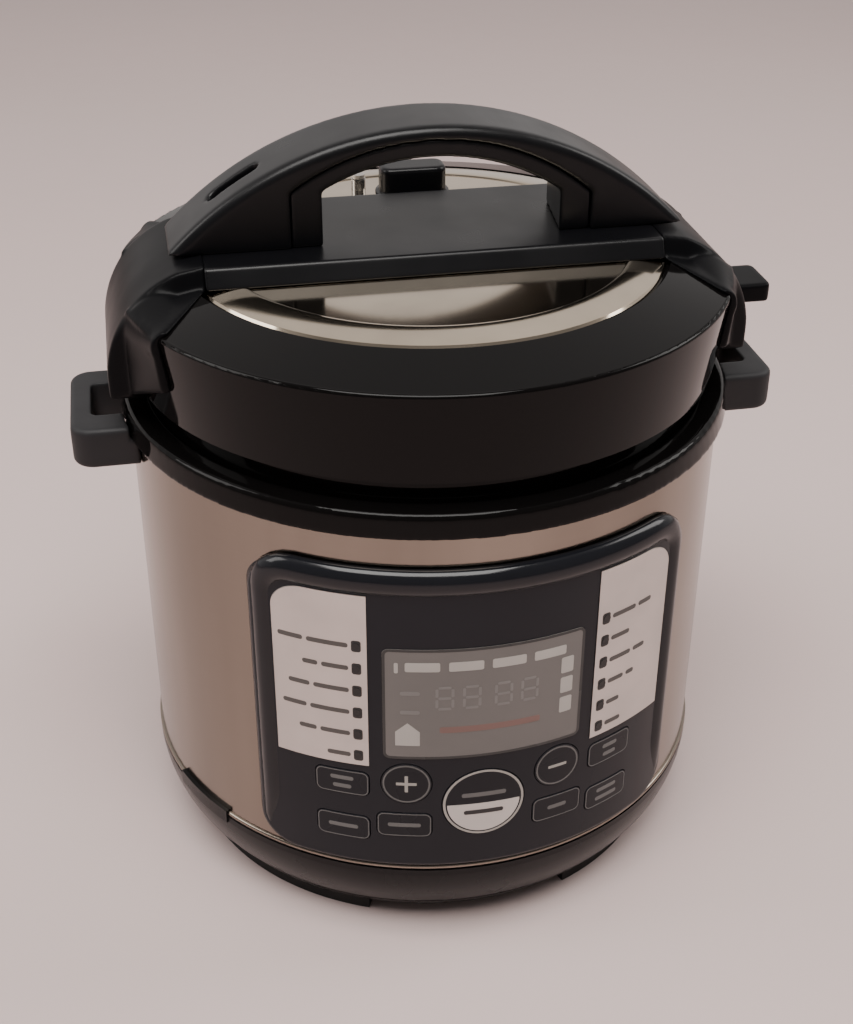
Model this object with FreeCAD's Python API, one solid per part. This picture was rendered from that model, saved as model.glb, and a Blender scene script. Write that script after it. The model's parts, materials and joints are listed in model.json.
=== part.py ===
import FreeCAD, Part
import math
import os

# Electric pressure cooker: a round steel body on a moulded base, with a bayonet lid and an arched handle.
# Millimetres, +Z up, control panel towards -Y, origin on the table under the body's axis.
# Angles in degrees are counted from the front, positive towards +X.

# Clearances
FIT_GAP = 0.1
RUN_GAP = 0.4
TEETH_GAP = 0.6
GUTTER_GAP = 1.2

# Screws
SCREW_RADIUS = 1.6
SCREW_HEAD_RADIUS = 3.2
SCREW_HEAD_HEIGHT = 2.4
SCREW_GRIP = 12.0

# Steel shell
SHELL_RADIUS = 130.0
SHELL_WALL = 0.8
SHELL_LOW = 37.0
SHELL_HEIGHT = 175.0

# Base tray and feet
FOOT_HEIGHT = 5.0
FOOT_WIDTH = 11.5
FOOT_SPAN = 44.0
FOOT_COUNT = 4
BASE_FLOOR_INSET = 14.0
BASE_WALL = 3.0
BASE_SWELL = 3.4
BASE_GROOVE_HEIGHT = 13.0
BASE_GROOVE_WIDTH = 1.2
BASE_GROOVE_DEPTH = 0.8
BASE_LIP_HEIGHT = 3.0
BASE_LIP_WALL = 1.0
BASE_LEDGE = 4.0
BASE_TAB_ANGLE = -61.0
BASE_TAB_SPAN = 16.0
BASE_TAB_RISE = 3.8
BASE_TAB_PROUD = 0.9
POST_COUNT = 4
POST_RADIUS = 6.0
POST_INSET = 19.0
POST_HEAD_DEPTH = 4.0
VENT_COUNT = 12
VENT_START = 18.0
VENT_LENGTH = 28.0
VENT_WIDTH = 4.0

# Inner pot and outer pot
POT_INSET = 19.5
INNER_POT_WALL = 1.2
INNER_POT_BEND = 12.5
POT_RIM_REACH = 3.8
POT_RIM_THICK = 1.5
POT_RIM_GAP = 0.3
POT_GAP = 2.2
OUTER_POT_WALL = 1.2
OUTER_POT_LOW = 30.0
OUTER_POT_RISE = 3.0
POT_HOLE_GAP = 4.0
FLANGE_THICK = 3.0
FLANGE_REACH = 4.3
TOOTH_COUNT = 6
TOOTH_SPAN = 28.0
LID_TOOTH_SPAN = 27.0
LID_TOOTH_THICK = 3.0
LID_TURN = 30.0

# Collar over the top of the shell
COLLAR_WALL = 3.5
COLLAR_LAP = 2.7
COLLAR_CEILING = 1.0
COLLAR_HEAD = 7.0
COLLAR_TAPER = 1.3
COLLAR_ROUND = 1.8
COLLAR_LIP = 1.5
COLLAR_SKIN = 2.4
GUTTER_DROP = 3.0
GUTTER_WALL = 2.0
SPOUT_WIDTH = 22.0
SPOUT_REACH = 14.0
SPOUT_DROP = 8.0
SPOUT_BORE = 3.0
DRAIN_BORE = 1.8
DRAIN_HEIGHT = 3.5

# Side handles
LUG_REACH = 25.0
LUG_WIDTH = 60.0
LUG_HEIGHT = 18.0
LUG_DROP = 5.0
LUG_CORNER = 9.0
LUG_EDGE = 2.5
LUG_OUTER_WALL = 9.0
LUG_END_WALL = 15.0
LUG_SLOT_CORNER = 3.0

# Heater under the inner pot
HEATER_INSET = 15.5
HEATER_THICK = 10.0
HEATER_LOW = 40.0
HEATER_HOLE = 17.0
HEATER_LEG_COUNT = 3
HEATER_LEG_INSET = 10.0
HEATER_LEG_RADIUS = 5.0
ELEMENT_INSET = 31.0
ELEMENT_WIDTH = 8.0
ELEMENT_HEIGHT = 6.0
ELEMENT_GAP_SPAN = 24.0
TERMINAL_RADIUS = 2.2
SPRING_PLATE_LAP = 2.0
SPRING_PLATE_GAP = 6.7
SPRING_PLATE_THICK = 2.0
SENSOR_STEM_RADIUS = 6.0
SENSOR_HEAD_HEIGHT = 3.7
SENSOR_TRAVEL = 2.0
SENSOR_SPRING_WALL = 2.5
BRACKET_HALF_LENGTH = 36.0
BRACKET_WIDTH = 20.0
BRACKET_THICK = 1.5
BRACKET_DROP = 14.0
FUSE_LENGTH = 24.0
FUSE_WIDTH = 8.0
FUSE_HEIGHT = 6.0
FUSE_OFFSET = 35.0
SWITCH_INSET = 9.0
SWITCH_ANGLE = 130.0
SWITCH_LENGTH = 20.0
SWITCH_WIDTH = 10.0
SWITCH_PLUNGER = 2.0
SWITCH_HEIGHT = 19.0

# Power board in the base
BOARD_THICK = 1.6
POWER_BOARD_HALF_WIDTH = 38.0
POWER_BOARD_INSET = 12.0
POWER_BOARD_DEPTH = 54.0
POWER_BOARD_STAND = 4.0
STAND_RADIUS = 3.0
STAND_INSET = 5.0
BLOCK_HALF_WIDTH = 26.0
BLOCK_DEPTH = 9.0
RELAY_SIZE = (16.0, 19.0, 13.0)
RELAY_PLACE = (-34.0, 12.0)
COIL_SIZE = (24.0, 20.0, 14.0)
COIL_PLACE = (8.0, 10.0)
CAPACITOR_RADIUS = 5.0
CAPACITOR_HEIGHT = 13.0
CAPACITOR_PLACES = ((-10.0, 14.0), (-10.0, 27.0))
CONNECTOR_HALF_WIDTH = 11.0
CONNECTOR_DEPTH = 5.0
CONNECTOR_HEIGHT = 4.4
RIBBON_THICK = 0.6
RIBBON_HALF_WIDTH = 10.0
RIBBON_RISE = 42.0

# Mains inlet at the back
INLET_HALF_WIDTH = 18.0
INLET_LOW = 12.0
INLET_HEIGHT = 24.0
INLET_PROUD = 2.5
INLET_BACK_GAP = 1.1
SOCKET_WIDTH = 24.5
SOCKET_HEIGHT = 16.5
SOCKET_DEPTH = 14.0
SOCKET_CHAMFER = 5.0
PIN_WIDTH = 4.0
PIN_THICK = 2.0
PIN_LENGTH = 9.0
PIN_SPREAD = 7.0
PIN_RISE = 2.0
WIRE_RADIUS = 1.5
WIRE_PITCH = 8.0
WIRE_COUNT = 3
WIRE_HEIGHT = 21.0

# Control panel
PANEL_WIDTH = 180.0
PANEL_LOW = 44.5
PANEL_HEIGHT = 147.5
PANEL_CORNER = 15.0
PANEL_THICK = 3.9
PANEL_ROUND = 3.0
PANEL_RIM = 12.0
PANEL_FOOT = 7.0
PANEL_OPENING_CORNER = 3.0
LABEL_INNER = 47.0
LABEL_WIDTH = 35.0
LABEL_LOW = 100.0
LABEL_HEIGHT = 84.0
LABEL_CORNER = 12.0
LABEL_THICK = 0.5
DISPLAY_WIDTH = 83.0
DISPLAY_LOW = 105.0
DISPLAY_HEIGHT = 55.0
DISPLAY_CORNER = 3.0
DISPLAY_THICK = 3.0
LIGHT_COUNT = 6
LIGHT_RADIUS = 1.7
LIGHT_INSET = 4.0
LIGHT_LOW = 105.0
LIGHT_PITCH = 11.0
LIGHT_PROUD = 0.3
LIGHT_SINK = 0.5
KEY_PROUD = 0.3
KEY_TRAVEL = 0.8
KEY_LIP = 0.9
KEY_LIP_THICK = 1.1
KEY_CORNER = 3.0
KEY_DOME_RADIUS = 3.0
RECT_KEY_WIDTH = 23.0
RECT_KEY_HEIGHT = 12.7
ROUND_KEY_WIDTH = 21.0
CENTRE_KEY_WIDTH = 35.0
OUTER_KEY_ARC = 59.6
INNER_KEY_ARC = 33.4
ROUND_KEY_ARC = 32.5
UPPER_KEY_HEIGHT = 89.5
LOWER_KEY_HEIGHT = 65.5
INNER_KEY_HEIGHT = 69.0
ROUND_KEY_HEIGHT = 91.5
CENTRE_KEY_HEIGHT = 80.0
MEMBRANE_THICK = 1.5
MEMBRANE_DOME = 1.0
MEMBRANE_MARGIN = 12.0
MEMBRANE_RIM = 3.0
CONTROL_BOARD_HALF_WIDTH = 35.0
CONTROL_BOARD_HEIGHT = 118.0
CONTROL_BOARD_GAP = 3.1
BOARD_RISE = 4.6
DISPLAY_MODULE_HALF_WIDTH = 30.0
DISPLAY_MODULE_DEPTH = 7.0
DISPLAY_MODULE_INSET = 2.5

# Condensation cup at the back
CUP_HALF_WIDTH = 28.0
CUP_DEPTH = 26.0
CUP_HEIGHT = 42.0
CUP_WALL = 1.8
CUP_TOP_DROP = 17.3
CUP_FLANGE_REACH = 6.0
CUP_FLANGE_THICK = 2.0
CUP_FLANGE_DROP = 2.0
CUP_CORNER = 6.0
CUP_PLATE_THICK = 2.5
CUP_PLATE_HEIGHT = 19.0
CUP_RAIL_WIDTH = 3.0
CUP_RAIL_HEIGHT = 4.0
CUP_SCREW_SPREAD = 20.0

# Lid shell
SKIRT_WALL = 1.6
SKIRT_TAIL = 2.4
LID_STEEL_THICK = 2.0
RACK_INSET = 3.5
RACK_WALL = 1.5
RACK_DEPTH = 9.0
GASKET_HEIGHT = 10.4
GASKET_LIP = 3.0
LID_OVERHANG = 1.0
LID_BAND_LEAN = 5.0
LID_BAND_HEIGHT = 39.0
LID_EDGE_ROUND = 1.5
LID_BEVEL_RISE = 6.0
LID_BEVEL_REACH = 28.5
LID_WALL = 3.0
LID_LIP_INSET = 7.5
LID_LIP_THICK = 2.5
LID_SCREW_COUNT = 6
LID_SCREW_INSET = 5.0
PLATE_GROOVE = 1.8
PLATE_EDGE = 1.7
PLATE_CROWN = 1.2
PLATE_SLOPE = 14.5
PLATE_THICK = 1.0
PLATE_LEDGE = 6.0

# Lid handle
BRIDGE_INSET = 7.5
BRIDGE_LOW_HALF_WIDTH = 38.0
BRIDGE_TOP_HALF_WIDTH = 34.0
BRIDGE_THICK = 8.0
BRIDGE_SCREW_INSET = 23.0
SHELF_HALF_LENGTH = 70.0
SHELF_REACH = 3.5
BRIDGE_SCREW_Y = 15.0
BRIDGE_SCREW_GRIP = 6.0
GRIP_OVERHANG = 13.0
GRIP_TOE = 1.0
GRIP_RISE = 47.0
GRIP_HALF_WIDTH = 19.0
GRIP_EDGE = 4.0
WINDOW_LEFT = 43.0
WINDOW_RIGHT = 52.0
WINDOW_BACK_FLARE = 8.0
WINDOW_CROWN = 34.5
WINDOW_ARC_RADIUS = 95.0
LINER_TOP_WALL = 7.0
LINER_SIDE_WALL = 13.0
LINER_SETBACK = 1.0
GRIP_SLOT_LENGTH = 25.0
GRIP_SLOT_WIDTH = 7.0
GRIP_SLOT_DEPTH = 9.0
GRIP_SLOT_INSET = 28.0
ARM_HALF_WIDTH = 32.0
ARM_REACH = 5.5
ARM_SETBACK = 3.0
ARM_SINK = 1.0
ARM_NECK_REACH = 11.0
ARM_NECK_DROP = 2.2
ARM_BEND_INSET = 11.5
ARM_BEND_DROP = 15.5
ARM_HEEL_HEIGHT = 10.0
SHOULDER_HALF_WIDTH = 35.0
SHOULDER_DROP = 8.0
SHOULDER_RISE = 3.5
SHOULDER_BEND_INSET = 5.2
SHOULDER_BEND_DROP = 5.5
SHOULDER_PROUD = 2.0
SHOULDER_HEEL_HEIGHT = 25.0
TIP_HALF_WIDTH = 62.0
TIP_SKIN = 1.6
TIP_LAP = 4.5
TIP_RISE = 16.0
FIN_REACH = 18.5
FIN_WIDTH = 24.0
FIN_THICK = 8.0
FIN_RISE = 12.0
FIN_CORNER = 3.0

# Valves on the lid
VALVE_PLACE = (6.0, 60.0)
VENT_RADIUS = 4.0
VENT_BORE = 2.0
VENT_RISE = 6.0
VENT_TAIL = 2.0
VENT_PLATE_GAP = 2.0
KNOB_FLANGE_RADIUS = 17.0
KNOB_FLANGE_THICK = 2.0
KNOB_LENGTH = 30.0
KNOB_WIDTH = 15.0
KNOB_HEIGHT = 12.0
KNOB_EDGE = 2.0
KNOB_CORNER = 5.0
KNOB_LIFT = 0.5
CAP_RADIUS = 12.0
CAP_WALL = 1.5
CAP_HEIGHT = 7.0
CAP_HOLE_COUNT = 6
CAP_HOLE_CIRCLE = 7.0
CAP_HOLE_RADIUS = 1.5
FLOAT_PLACE = (-17.0, 72.0)
FLOAT_RADIUS = 1.8
FLOAT_GUIDE_WALL = 1.1
FLOAT_GUIDE_RISE = 5.0
FLOAT_HEAD_RADIUS = 3.0
FLOAT_HEAD_THICK = 1.8
FLOAT_TRAVEL = 4.5
FLOAT_FOOT_RADIUS = 5.0
FLOAT_FOOT_THICK = 2.5
FLOAT_SEAL_THICK = 1.2

# Heights and radii that follow from the sizes above
SHELL_TOP = SHELL_LOW + SHELL_HEIGHT
SHELL_INNER = SHELL_RADIUS - SHELL_WALL
BASE_FLOOR_RADIUS = SHELL_RADIUS - BASE_FLOOR_INSET
BASE_FLOOR_TOP = FOOT_HEIGHT + BASE_WALL
POST_CIRCLE = BASE_FLOOR_RADIUS - POST_INSET
BASE_TOP = SHELL_LOW + BASE_LIP_HEIGHT
BASE_LIP_INNER = SHELL_RADIUS + FIT_GAP
BASE_RADIUS = BASE_LIP_INNER + BASE_LIP_WALL
INNER_POT_RADIUS = SHELL_RADIUS - POT_INSET
OUTER_POT_INNER = INNER_POT_RADIUS + POT_GAP
OUTER_POT_RADIUS = OUTER_POT_INNER + OUTER_POT_WALL
OUTER_POT_TOP = SHELL_TOP + OUTER_POT_RISE
OUTER_POT_FLOOR = OUTER_POT_LOW + OUTER_POT_WALL
FLANGE_RADIUS = OUTER_POT_RADIUS + FLANGE_REACH
FLANGE_LOW = OUTER_POT_TOP - FLANGE_THICK
INNER_POT_LOW = HEATER_LOW + HEATER_THICK
HEATER_RADIUS = INNER_POT_RADIUS - HEATER_INSET
HEATER_LEG_CIRCLE = HEATER_RADIUS - HEATER_LEG_INSET
ELEMENT_CIRCLE = HEATER_RADIUS - ELEMENT_INSET
OUTER_POT_HOLE = ELEMENT_CIRCLE + ELEMENT_WIDTH / 2 + POT_HOLE_GAP
SPRING_PLATE_INNER = OUTER_POT_HOLE + SPRING_PLATE_LAP
SPRING_PLATE_OUTER = OUTER_POT_INNER - SPRING_PLATE_GAP
POT_RIM_RADIUS = INNER_POT_RADIUS + POT_RIM_REACH
POT_RIM_LOW = OUTER_POT_TOP + POT_RIM_GAP
POT_RIM_TOP = POT_RIM_LOW + POT_RIM_THICK
GASKET_LOW = POT_RIM_TOP + RUN_GAP
LID_STEEL_LOW = GASKET_LOW + GASKET_HEIGHT + RUN_GAP
LID_STEEL_TOP = LID_STEEL_LOW + LID_STEEL_THICK
LID_TOOTH_TOP = FLANGE_LOW - TEETH_GAP
LID_TOOTH_INNER = POT_RIM_RADIUS + TEETH_GAP
SKIRT_INNER = FLANGE_RADIUS + TEETH_GAP
SKIRT_OUTER = SKIRT_INNER + SKIRT_WALL
SKIRT_LOW = LID_TOOTH_TOP - LID_TOOTH_THICK - SKIRT_TAIL
COLLAR_INNER = SKIRT_OUTER + GUTTER_GAP
COLLAR_LOW = SHELL_TOP - COLLAR_LAP
COLLAR_TOP = SHELL_TOP + COLLAR_CEILING + COLLAR_HEAD
COLLAR_RADIUS = SHELL_RADIUS + FIT_GAP + COLLAR_WALL
GUTTER_TOP = SKIRT_LOW - GUTTER_DROP
LUG_TOP = COLLAR_TOP - LUG_DROP
LUG_LOW = LUG_TOP - LUG_HEIGHT
LUG_END = SHELL_RADIUS + LUG_REACH
PANEL_INNER = SHELL_RADIUS + FIT_GAP
PANEL_RADIUS = PANEL_INNER + PANEL_THICK
KEY_BACK = PANEL_INNER - RUN_GAP - KEY_LIP_THICK
MEMBRANE_FRONT = KEY_BACK - KEY_TRAVEL - RUN_GAP - MEMBRANE_DOME
MEMBRANE_BACK = MEMBRANE_FRONT - MEMBRANE_THICK
MEMBRANE_LOW = LOWER_KEY_HEIGHT - RECT_KEY_HEIGHT / 2
MEMBRANE_TOP = ROUND_KEY_HEIGHT + ROUND_KEY_WIDTH / 2
MEMBRANE_HALF_ARC = OUTER_KEY_ARC + RECT_KEY_WIDTH / 2 + MEMBRANE_MARGIN
PANEL_OPENING_LOW = PANEL_LOW + PANEL_FOOT
LIGHT_ANGLE = math.degrees(math.asin((LABEL_INNER + LIGHT_INSET) / PANEL_RADIUS))
BOARD_BACK_Y = -OUTER_POT_RADIUS - CONTROL_BOARD_GAP
BOARD_FRONT_Y = BOARD_BACK_Y - BOARD_THICK
BOARD_LOW = PANEL_LOW + BOARD_RISE
POWER_BOARD_LOW = BASE_FLOOR_TOP + POWER_BOARD_STAND
POWER_BOARD_TOP = POWER_BOARD_LOW + BOARD_THICK
POWER_BOARD_FRONT = POWER_BOARD_INSET - BASE_FLOOR_RADIUS
POWER_BOARD_BACK = POWER_BOARD_FRONT + POWER_BOARD_DEPTH
INLET_FACE = BASE_RADIUS + INLET_PROUD - BASE_LIP_WALL
INLET_BACK = OUTER_POT_RADIUS + INLET_BACK_GAP
RACK_RADIUS = INNER_POT_RADIUS - RACK_INSET
LID_RADIUS = SHELL_RADIUS + LID_OVERHANG
LID_LOW_RADIUS = LID_RADIUS - LID_BAND_LEAN
PLATE_RADIUS = LID_RADIUS - LID_BEVEL_REACH
PLATE_FLAT_RADIUS = PLATE_RADIUS - PLATE_SLOPE
LID_LIP_RADIUS = PLATE_RADIUS - LID_LIP_INSET
LID_SCREW_CIRCLE = LID_LIP_RADIUS + LID_SCREW_INSET
LID_EDGE = LID_STEEL_TOP + LID_BAND_HEIGHT
BEVEL_TOP = LID_EDGE + LID_BEVEL_RISE
PLATE_SEAT = BEVEL_TOP - PLATE_EDGE
PLATE_TOP = BEVEL_TOP + PLATE_CROWN
BRIDGE_LOW = PLATE_TOP + FIT_GAP
BRIDGE_TOP = BRIDGE_LOW + BRIDGE_THICK
BRIDGE_HALF_LENGTH = PLATE_RADIUS - BRIDGE_INSET
BRIDGE_SCREW_X = BRIDGE_HALF_LENGTH - BRIDGE_SCREW_INSET
GRIP_HALF_LENGTH = BRIDGE_HALF_LENGTH + GRIP_OVERHANG
GRIP_SLOT_X = GRIP_SLOT_INSET - GRIP_HALF_LENGTH
ARM_OUTER = LID_RADIUS + ARM_REACH
ARM_NECK_X = BRIDGE_HALF_LENGTH + ARM_NECK_REACH
ARM_BEND_X = ARM_OUTER - ARM_BEND_INSET
SHOULDER_OUTER = math.sqrt(LID_RADIUS ** 2 - SHOULDER_HALF_WIDTH ** 2) + SHOULDER_PROUD
SHOULDER_BEND_X = SHOULDER_OUTER - SHOULDER_BEND_INSET
FIN_END = ARM_OUTER + FIN_REACH
CUP_TOP = COLLAR_LOW - CUP_TOP_DROP
CUP_FRONT = SHELL_RADIUS + FIT_GAP + CUP_PLATE_THICK + RUN_GAP
CUP_FLANGE_LOW = CUP_TOP - CUP_FLANGE_DROP - CUP_FLANGE_THICK

# Keys: place round the panel, height, width and height of the cap, where a round cap has no second size
RECT_CAP = (RECT_KEY_WIDTH, RECT_KEY_HEIGHT)
ROUND_CAP = (ROUND_KEY_WIDTH, None)
KEYS = {
    "key_plus": (-ROUND_KEY_ARC, ROUND_KEY_HEIGHT, ROUND_CAP),
    "key_minus": (ROUND_KEY_ARC, ROUND_KEY_HEIGHT, ROUND_CAP),
    "key_centre": (0.0, CENTRE_KEY_HEIGHT, (CENTRE_KEY_WIDTH, None)),
    "key_left_upper": (-OUTER_KEY_ARC, UPPER_KEY_HEIGHT, RECT_CAP),
    "key_left_lower": (-OUTER_KEY_ARC, LOWER_KEY_HEIGHT, RECT_CAP),
    "key_left_inner": (-INNER_KEY_ARC, INNER_KEY_HEIGHT, RECT_CAP),
    "key_right_upper": (OUTER_KEY_ARC, UPPER_KEY_HEIGHT, RECT_CAP),
    "key_right_lower": (OUTER_KEY_ARC, LOWER_KEY_HEIGHT, RECT_CAP),
    "key_right_inner": (INNER_KEY_ARC, INNER_KEY_HEIGHT, RECT_CAP),
}

ORIGIN = FreeCAD.Vector(0, 0, 0)
UP = FreeCAD.Vector(0, 0, 1)
FRONT_TO_X = -90.0
FULL_TURN = 360.0
CUBIC_MM_IN_CM3 = 1000.0


# Drawing helpers
def in_xz(a, b):
    return FreeCAD.Vector(a, 0, b)


def in_xy(a, b):
    return FreeCAD.Vector(a, b, 0)


def in_yz(a, b):
    return FreeCAD.Vector(0, a, b)


# A closed outline: each step is a corner, or a pair of a point on an arc and the arc's end
def outline(place, start, *steps):
    edges = []
    here = start
    for step in steps + (start,):
        if isinstance(step[0], tuple):
            there = step[1]
            arc = Part.Arc(place(*here), place(*step[0]), place(*there))
            edges.append(arc.toShape())
        elif step != here:
            there = step
            edges.append(Part.LineSegment(place(*here), place(*there)).toShape())
        here = there
    return Part.Wire(edges)


def face(place, start, *steps):
    return Part.Face(outline(place, start, *steps))


def turned(start, *steps):
    return face(in_xz, start, *steps).revolve(ORIGIN, UP, FULL_TURN)


def disc(radius, low, high, x=0.0, y=0.0):
    return Part.makeCylinder(radius, high - low, FreeCAD.Vector(x, y, low))


def ring(inner, outer, low, high, x=0.0, y=0.0):
    return disc(outer, low, high, x, y).cut(disc(inner, low, high, x, y))


def block(low, high):
    size = [b - a for a, b in zip(low, high)]
    return Part.makeBox(*size, FreeCAD.Vector(*low))


def to_angle(shape, angle):
    return shape.rotated(ORIGIN, UP, angle)


def ring_sector(inner, outer, low, high, middle, span):
    section = face(in_xz, (inner, low), (outer, low), (outer, high), (inner, high))
    return to_angle(section.revolve(ORIGIN, UP, span), FRONT_TO_X + middle - span / 2)


def spaced_angles(count, first=0.0):
    return [first + FULL_TURN * i / count for i in range(count)]


def rounded_rectangle(place, half_width, low, high, corner):
    bend = corner * (1 - math.sqrt(0.5))
    w = half_width
    return face(
        place,
        (-w + corner, low),
        (w - corner, low),
        ((w - bend, low + bend), (w, low + corner)),
        (w, high - corner),
        ((w - bend, high - bend), (w - corner, high)),
        (-w + corner, high),
        ((-w + bend, high - bend), (-w, high - corner)),
        (-w, low + corner),
        ((-w + bend, low + bend), (-w + corner, low)),
    )


# A prism through the front of the panel, along -Y before it is turned to its angle
def front_prism(flat, angle=0.0):
    start = flat.translated(FreeCAD.Vector(0, -OUTER_POT_RADIUS / 2, 0))
    return to_angle(start.extrude(FreeCAD.Vector(0, -SHELL_RADIUS, 0)), angle)


def panel_layer(inner, outer):
    return ring(inner, outer, 0, COLLAR_TOP)


def union(shapes):
    first = shapes[0]
    return first.fuse(shapes[1:]).removeSplitter() if len(shapes) > 1 else first


# A pan-head screw whose head's seat is at a point, with the shank along a direction
def screw(seat, direction, grip):
    way = FreeCAD.Vector(*direction)
    start = FreeCAD.Vector(*seat)
    shank = Part.makeCylinder(SCREW_RADIUS, grip, start, way)
    head = Part.makeCylinder(SCREW_HEAD_RADIUS, SCREW_HEAD_HEIGHT, start, way * -1)
    return shank.fuse(head).removeSplitter()


def screw_hole(seat, direction, grip):
    way = FreeCAD.Vector(*direction)
    start = FreeCAD.Vector(*seat) - way * SHELL_WALL
    return Part.makeCylinder(SCREW_RADIUS + FIT_GAP, grip + SHELL_WALL + FIT_GAP, start, way)


def at_angle(radius, angle):
    turn = math.radians(angle)
    return (radius * math.sin(turn), -radius * math.cos(turn))


# Where the body's screws go
def post_places():
    return [at_angle(POST_CIRCLE, a) for a in spaced_angles(POST_COUNT, FULL_TURN / POST_COUNT / 2)]


def base_screw_seats():
    low = FOOT_HEIGHT + POST_HEAD_DEPTH
    return [((x, y, low), (0, 0, 1), OUTER_POT_FLOOR - low) for x, y in post_places()]


def lug_screw_seats():
    seats = []
    y = (LUG_WIDTH - LUG_END_WALL) / 2
    x = math.sqrt((SHELL_INNER - FIT_GAP) ** 2 - (y + SCREW_HEAD_RADIUS) ** 2)
    z = LUG_LOW + (COLLAR_LOW - LUG_LOW) / 2
    for side in (-1, 1):
        seats += [((side * x, side_y, z), (side, 0, 0), SCREW_GRIP) for side_y in (-y, y)]
    return seats


def cup_screw_seats():
    y = SHELL_RADIUS + FIT_GAP + CUP_PLATE_THICK
    z = CUP_TOP + SCREW_HEAD_RADIUS + RUN_GAP
    grip = y - SHELL_INNER + SCREW_HEAD_HEIGHT
    return [((x, y, z), (0, -1, 0), grip) for x in (-CUP_SCREW_SPREAD, CUP_SCREW_SPREAD)]


def board_screw_places():
    x = CONTROL_BOARD_HALF_WIDTH - STAND_INSET
    low = PANEL_OPENING_LOW + STAND_RADIUS + RUN_GAP
    high = BOARD_LOW + CONTROL_BOARD_HEIGHT - STAND_INSET
    return [(x, low), (-x, low), (x, high), (-x, high)]


def board_screw_seats():
    grip = SHELL_RADIUS - STAND_INSET + BOARD_BACK_Y
    return [((x, BOARD_BACK_Y, z), (0, -1, 0), grip) for x, z in board_screw_places()]


def cut_screws(shape, seats):
    return shape.cut([screw_hole(*seat) for seat in seats])


# Base
def base_outline_radius(height):
    lean = (BASE_RADIUS - BASE_FLOOR_RADIUS) / (SHELL_LOW - FOOT_HEIGHT)
    part = (height - FOOT_HEIGHT) / (SHELL_LOW - FOOT_HEIGHT)
    swell = BASE_SWELL * (1 - (2 * part - 1) ** 2)
    return BASE_FLOOR_RADIUS + lean * (height - FOOT_HEIGHT) + swell


def base_tray():
    groove_low = BASE_GROOVE_HEIGHT
    groove_high = groove_low + BASE_GROOVE_WIDTH
    groove = base_outline_radius(groove_low) - BASE_GROOVE_DEPTH
    low_middle = (FOOT_HEIGHT + groove_low) / 2
    high_middle = (groove_high + SHELL_LOW) / 2
    ledge = BASE_LIP_INNER - BASE_LEDGE
    inner_middle = (BASE_FLOOR_TOP + SHELL_LOW) / 2
    tray = turned(
        (0, FOOT_HEIGHT),
        (BASE_FLOOR_RADIUS, FOOT_HEIGHT),
        ((base_outline_radius(low_middle), low_middle), (base_outline_radius(groove_low), groove_low)),
        (groove, groove_low),
        (groove, groove_high),
        (base_outline_radius(groove_high), groove_high),
        ((base_outline_radius(high_middle), high_middle), (BASE_RADIUS, SHELL_LOW)),
        (BASE_RADIUS, BASE_TOP),
        (BASE_LIP_INNER, BASE_TOP),
        (BASE_LIP_INNER, SHELL_LOW),
        (ledge, SHELL_LOW),
        ((base_outline_radius(inner_middle) - BASE_LEDGE, inner_middle),
         (BASE_FLOOR_RADIUS - BASE_WALL, BASE_FLOOR_TOP)),
        (0, BASE_FLOOR_TOP),
    )
    vent = block((VENT_START, -VENT_WIDTH / 2, 0), (VENT_START + VENT_LENGTH, VENT_WIDTH / 2, SHELL_LOW))
    tray = tray.cut([to_angle(vent, a) for a in spaced_angles(VENT_COUNT)])
    posts = [disc(POST_RADIUS, BASE_FLOOR_TOP, OUTER_POT_LOW, x, y) for x, y in post_places()]
    stands = [disc(STAND_RADIUS, BASE_FLOOR_TOP, POWER_BOARD_LOW, x, y) for x, y in power_stand_places()]
    tray = union([tray] + posts + stands)
    well_top = FOOT_HEIGHT + POST_HEAD_DEPTH
    wells = [disc(SCREW_HEAD_RADIUS + RUN_GAP, 0, well_top, x, y) for x, y in post_places()]
    tab = ring_sector(
        BASE_LIP_INNER, BASE_RADIUS + BASE_TAB_PROUD,
        SHELL_LOW, BASE_TOP + BASE_TAB_RISE, BASE_TAB_ANGLE, BASE_TAB_SPAN,
    )
    tray = cut_screws(union([tray.cut(wells), tab]), base_screw_seats())
    return tray.cut(inlet_block(FIT_GAP))


def feet():
    outer = BASE_FLOOR_RADIUS
    first = FULL_TURN / FOOT_COUNT / 2
    return Part.makeCompound([
        ring_sector(outer - FOOT_WIDTH, outer, 0, FOOT_HEIGHT, a, FOOT_SPAN)
        for a in spaced_angles(FOOT_COUNT, first)
    ])


def body_screws():
    seats = base_screw_seats() + lug_screw_seats() + cup_screw_seats() + board_screw_seats()
    return Part.makeCompound([screw(*seat) for seat in seats])


# Shell, collar and side handles
def outer_shell():
    shell = ring(SHELL_INNER, SHELL_RADIUS, SHELL_LOW, SHELL_TOP)
    shell = shell.cut(front_prism(panel_opening()))
    return cut_screws(shell, lug_screw_seats() + cup_screw_seats())


def panel_opening():
    half = PANEL_WIDTH / 2 - PANEL_RIM
    high = PANEL_LOW + PANEL_HEIGHT - PANEL_RIM
    return rounded_rectangle(in_xz, half, PANEL_OPENING_LOW, high, PANEL_OPENING_CORNER)


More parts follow.
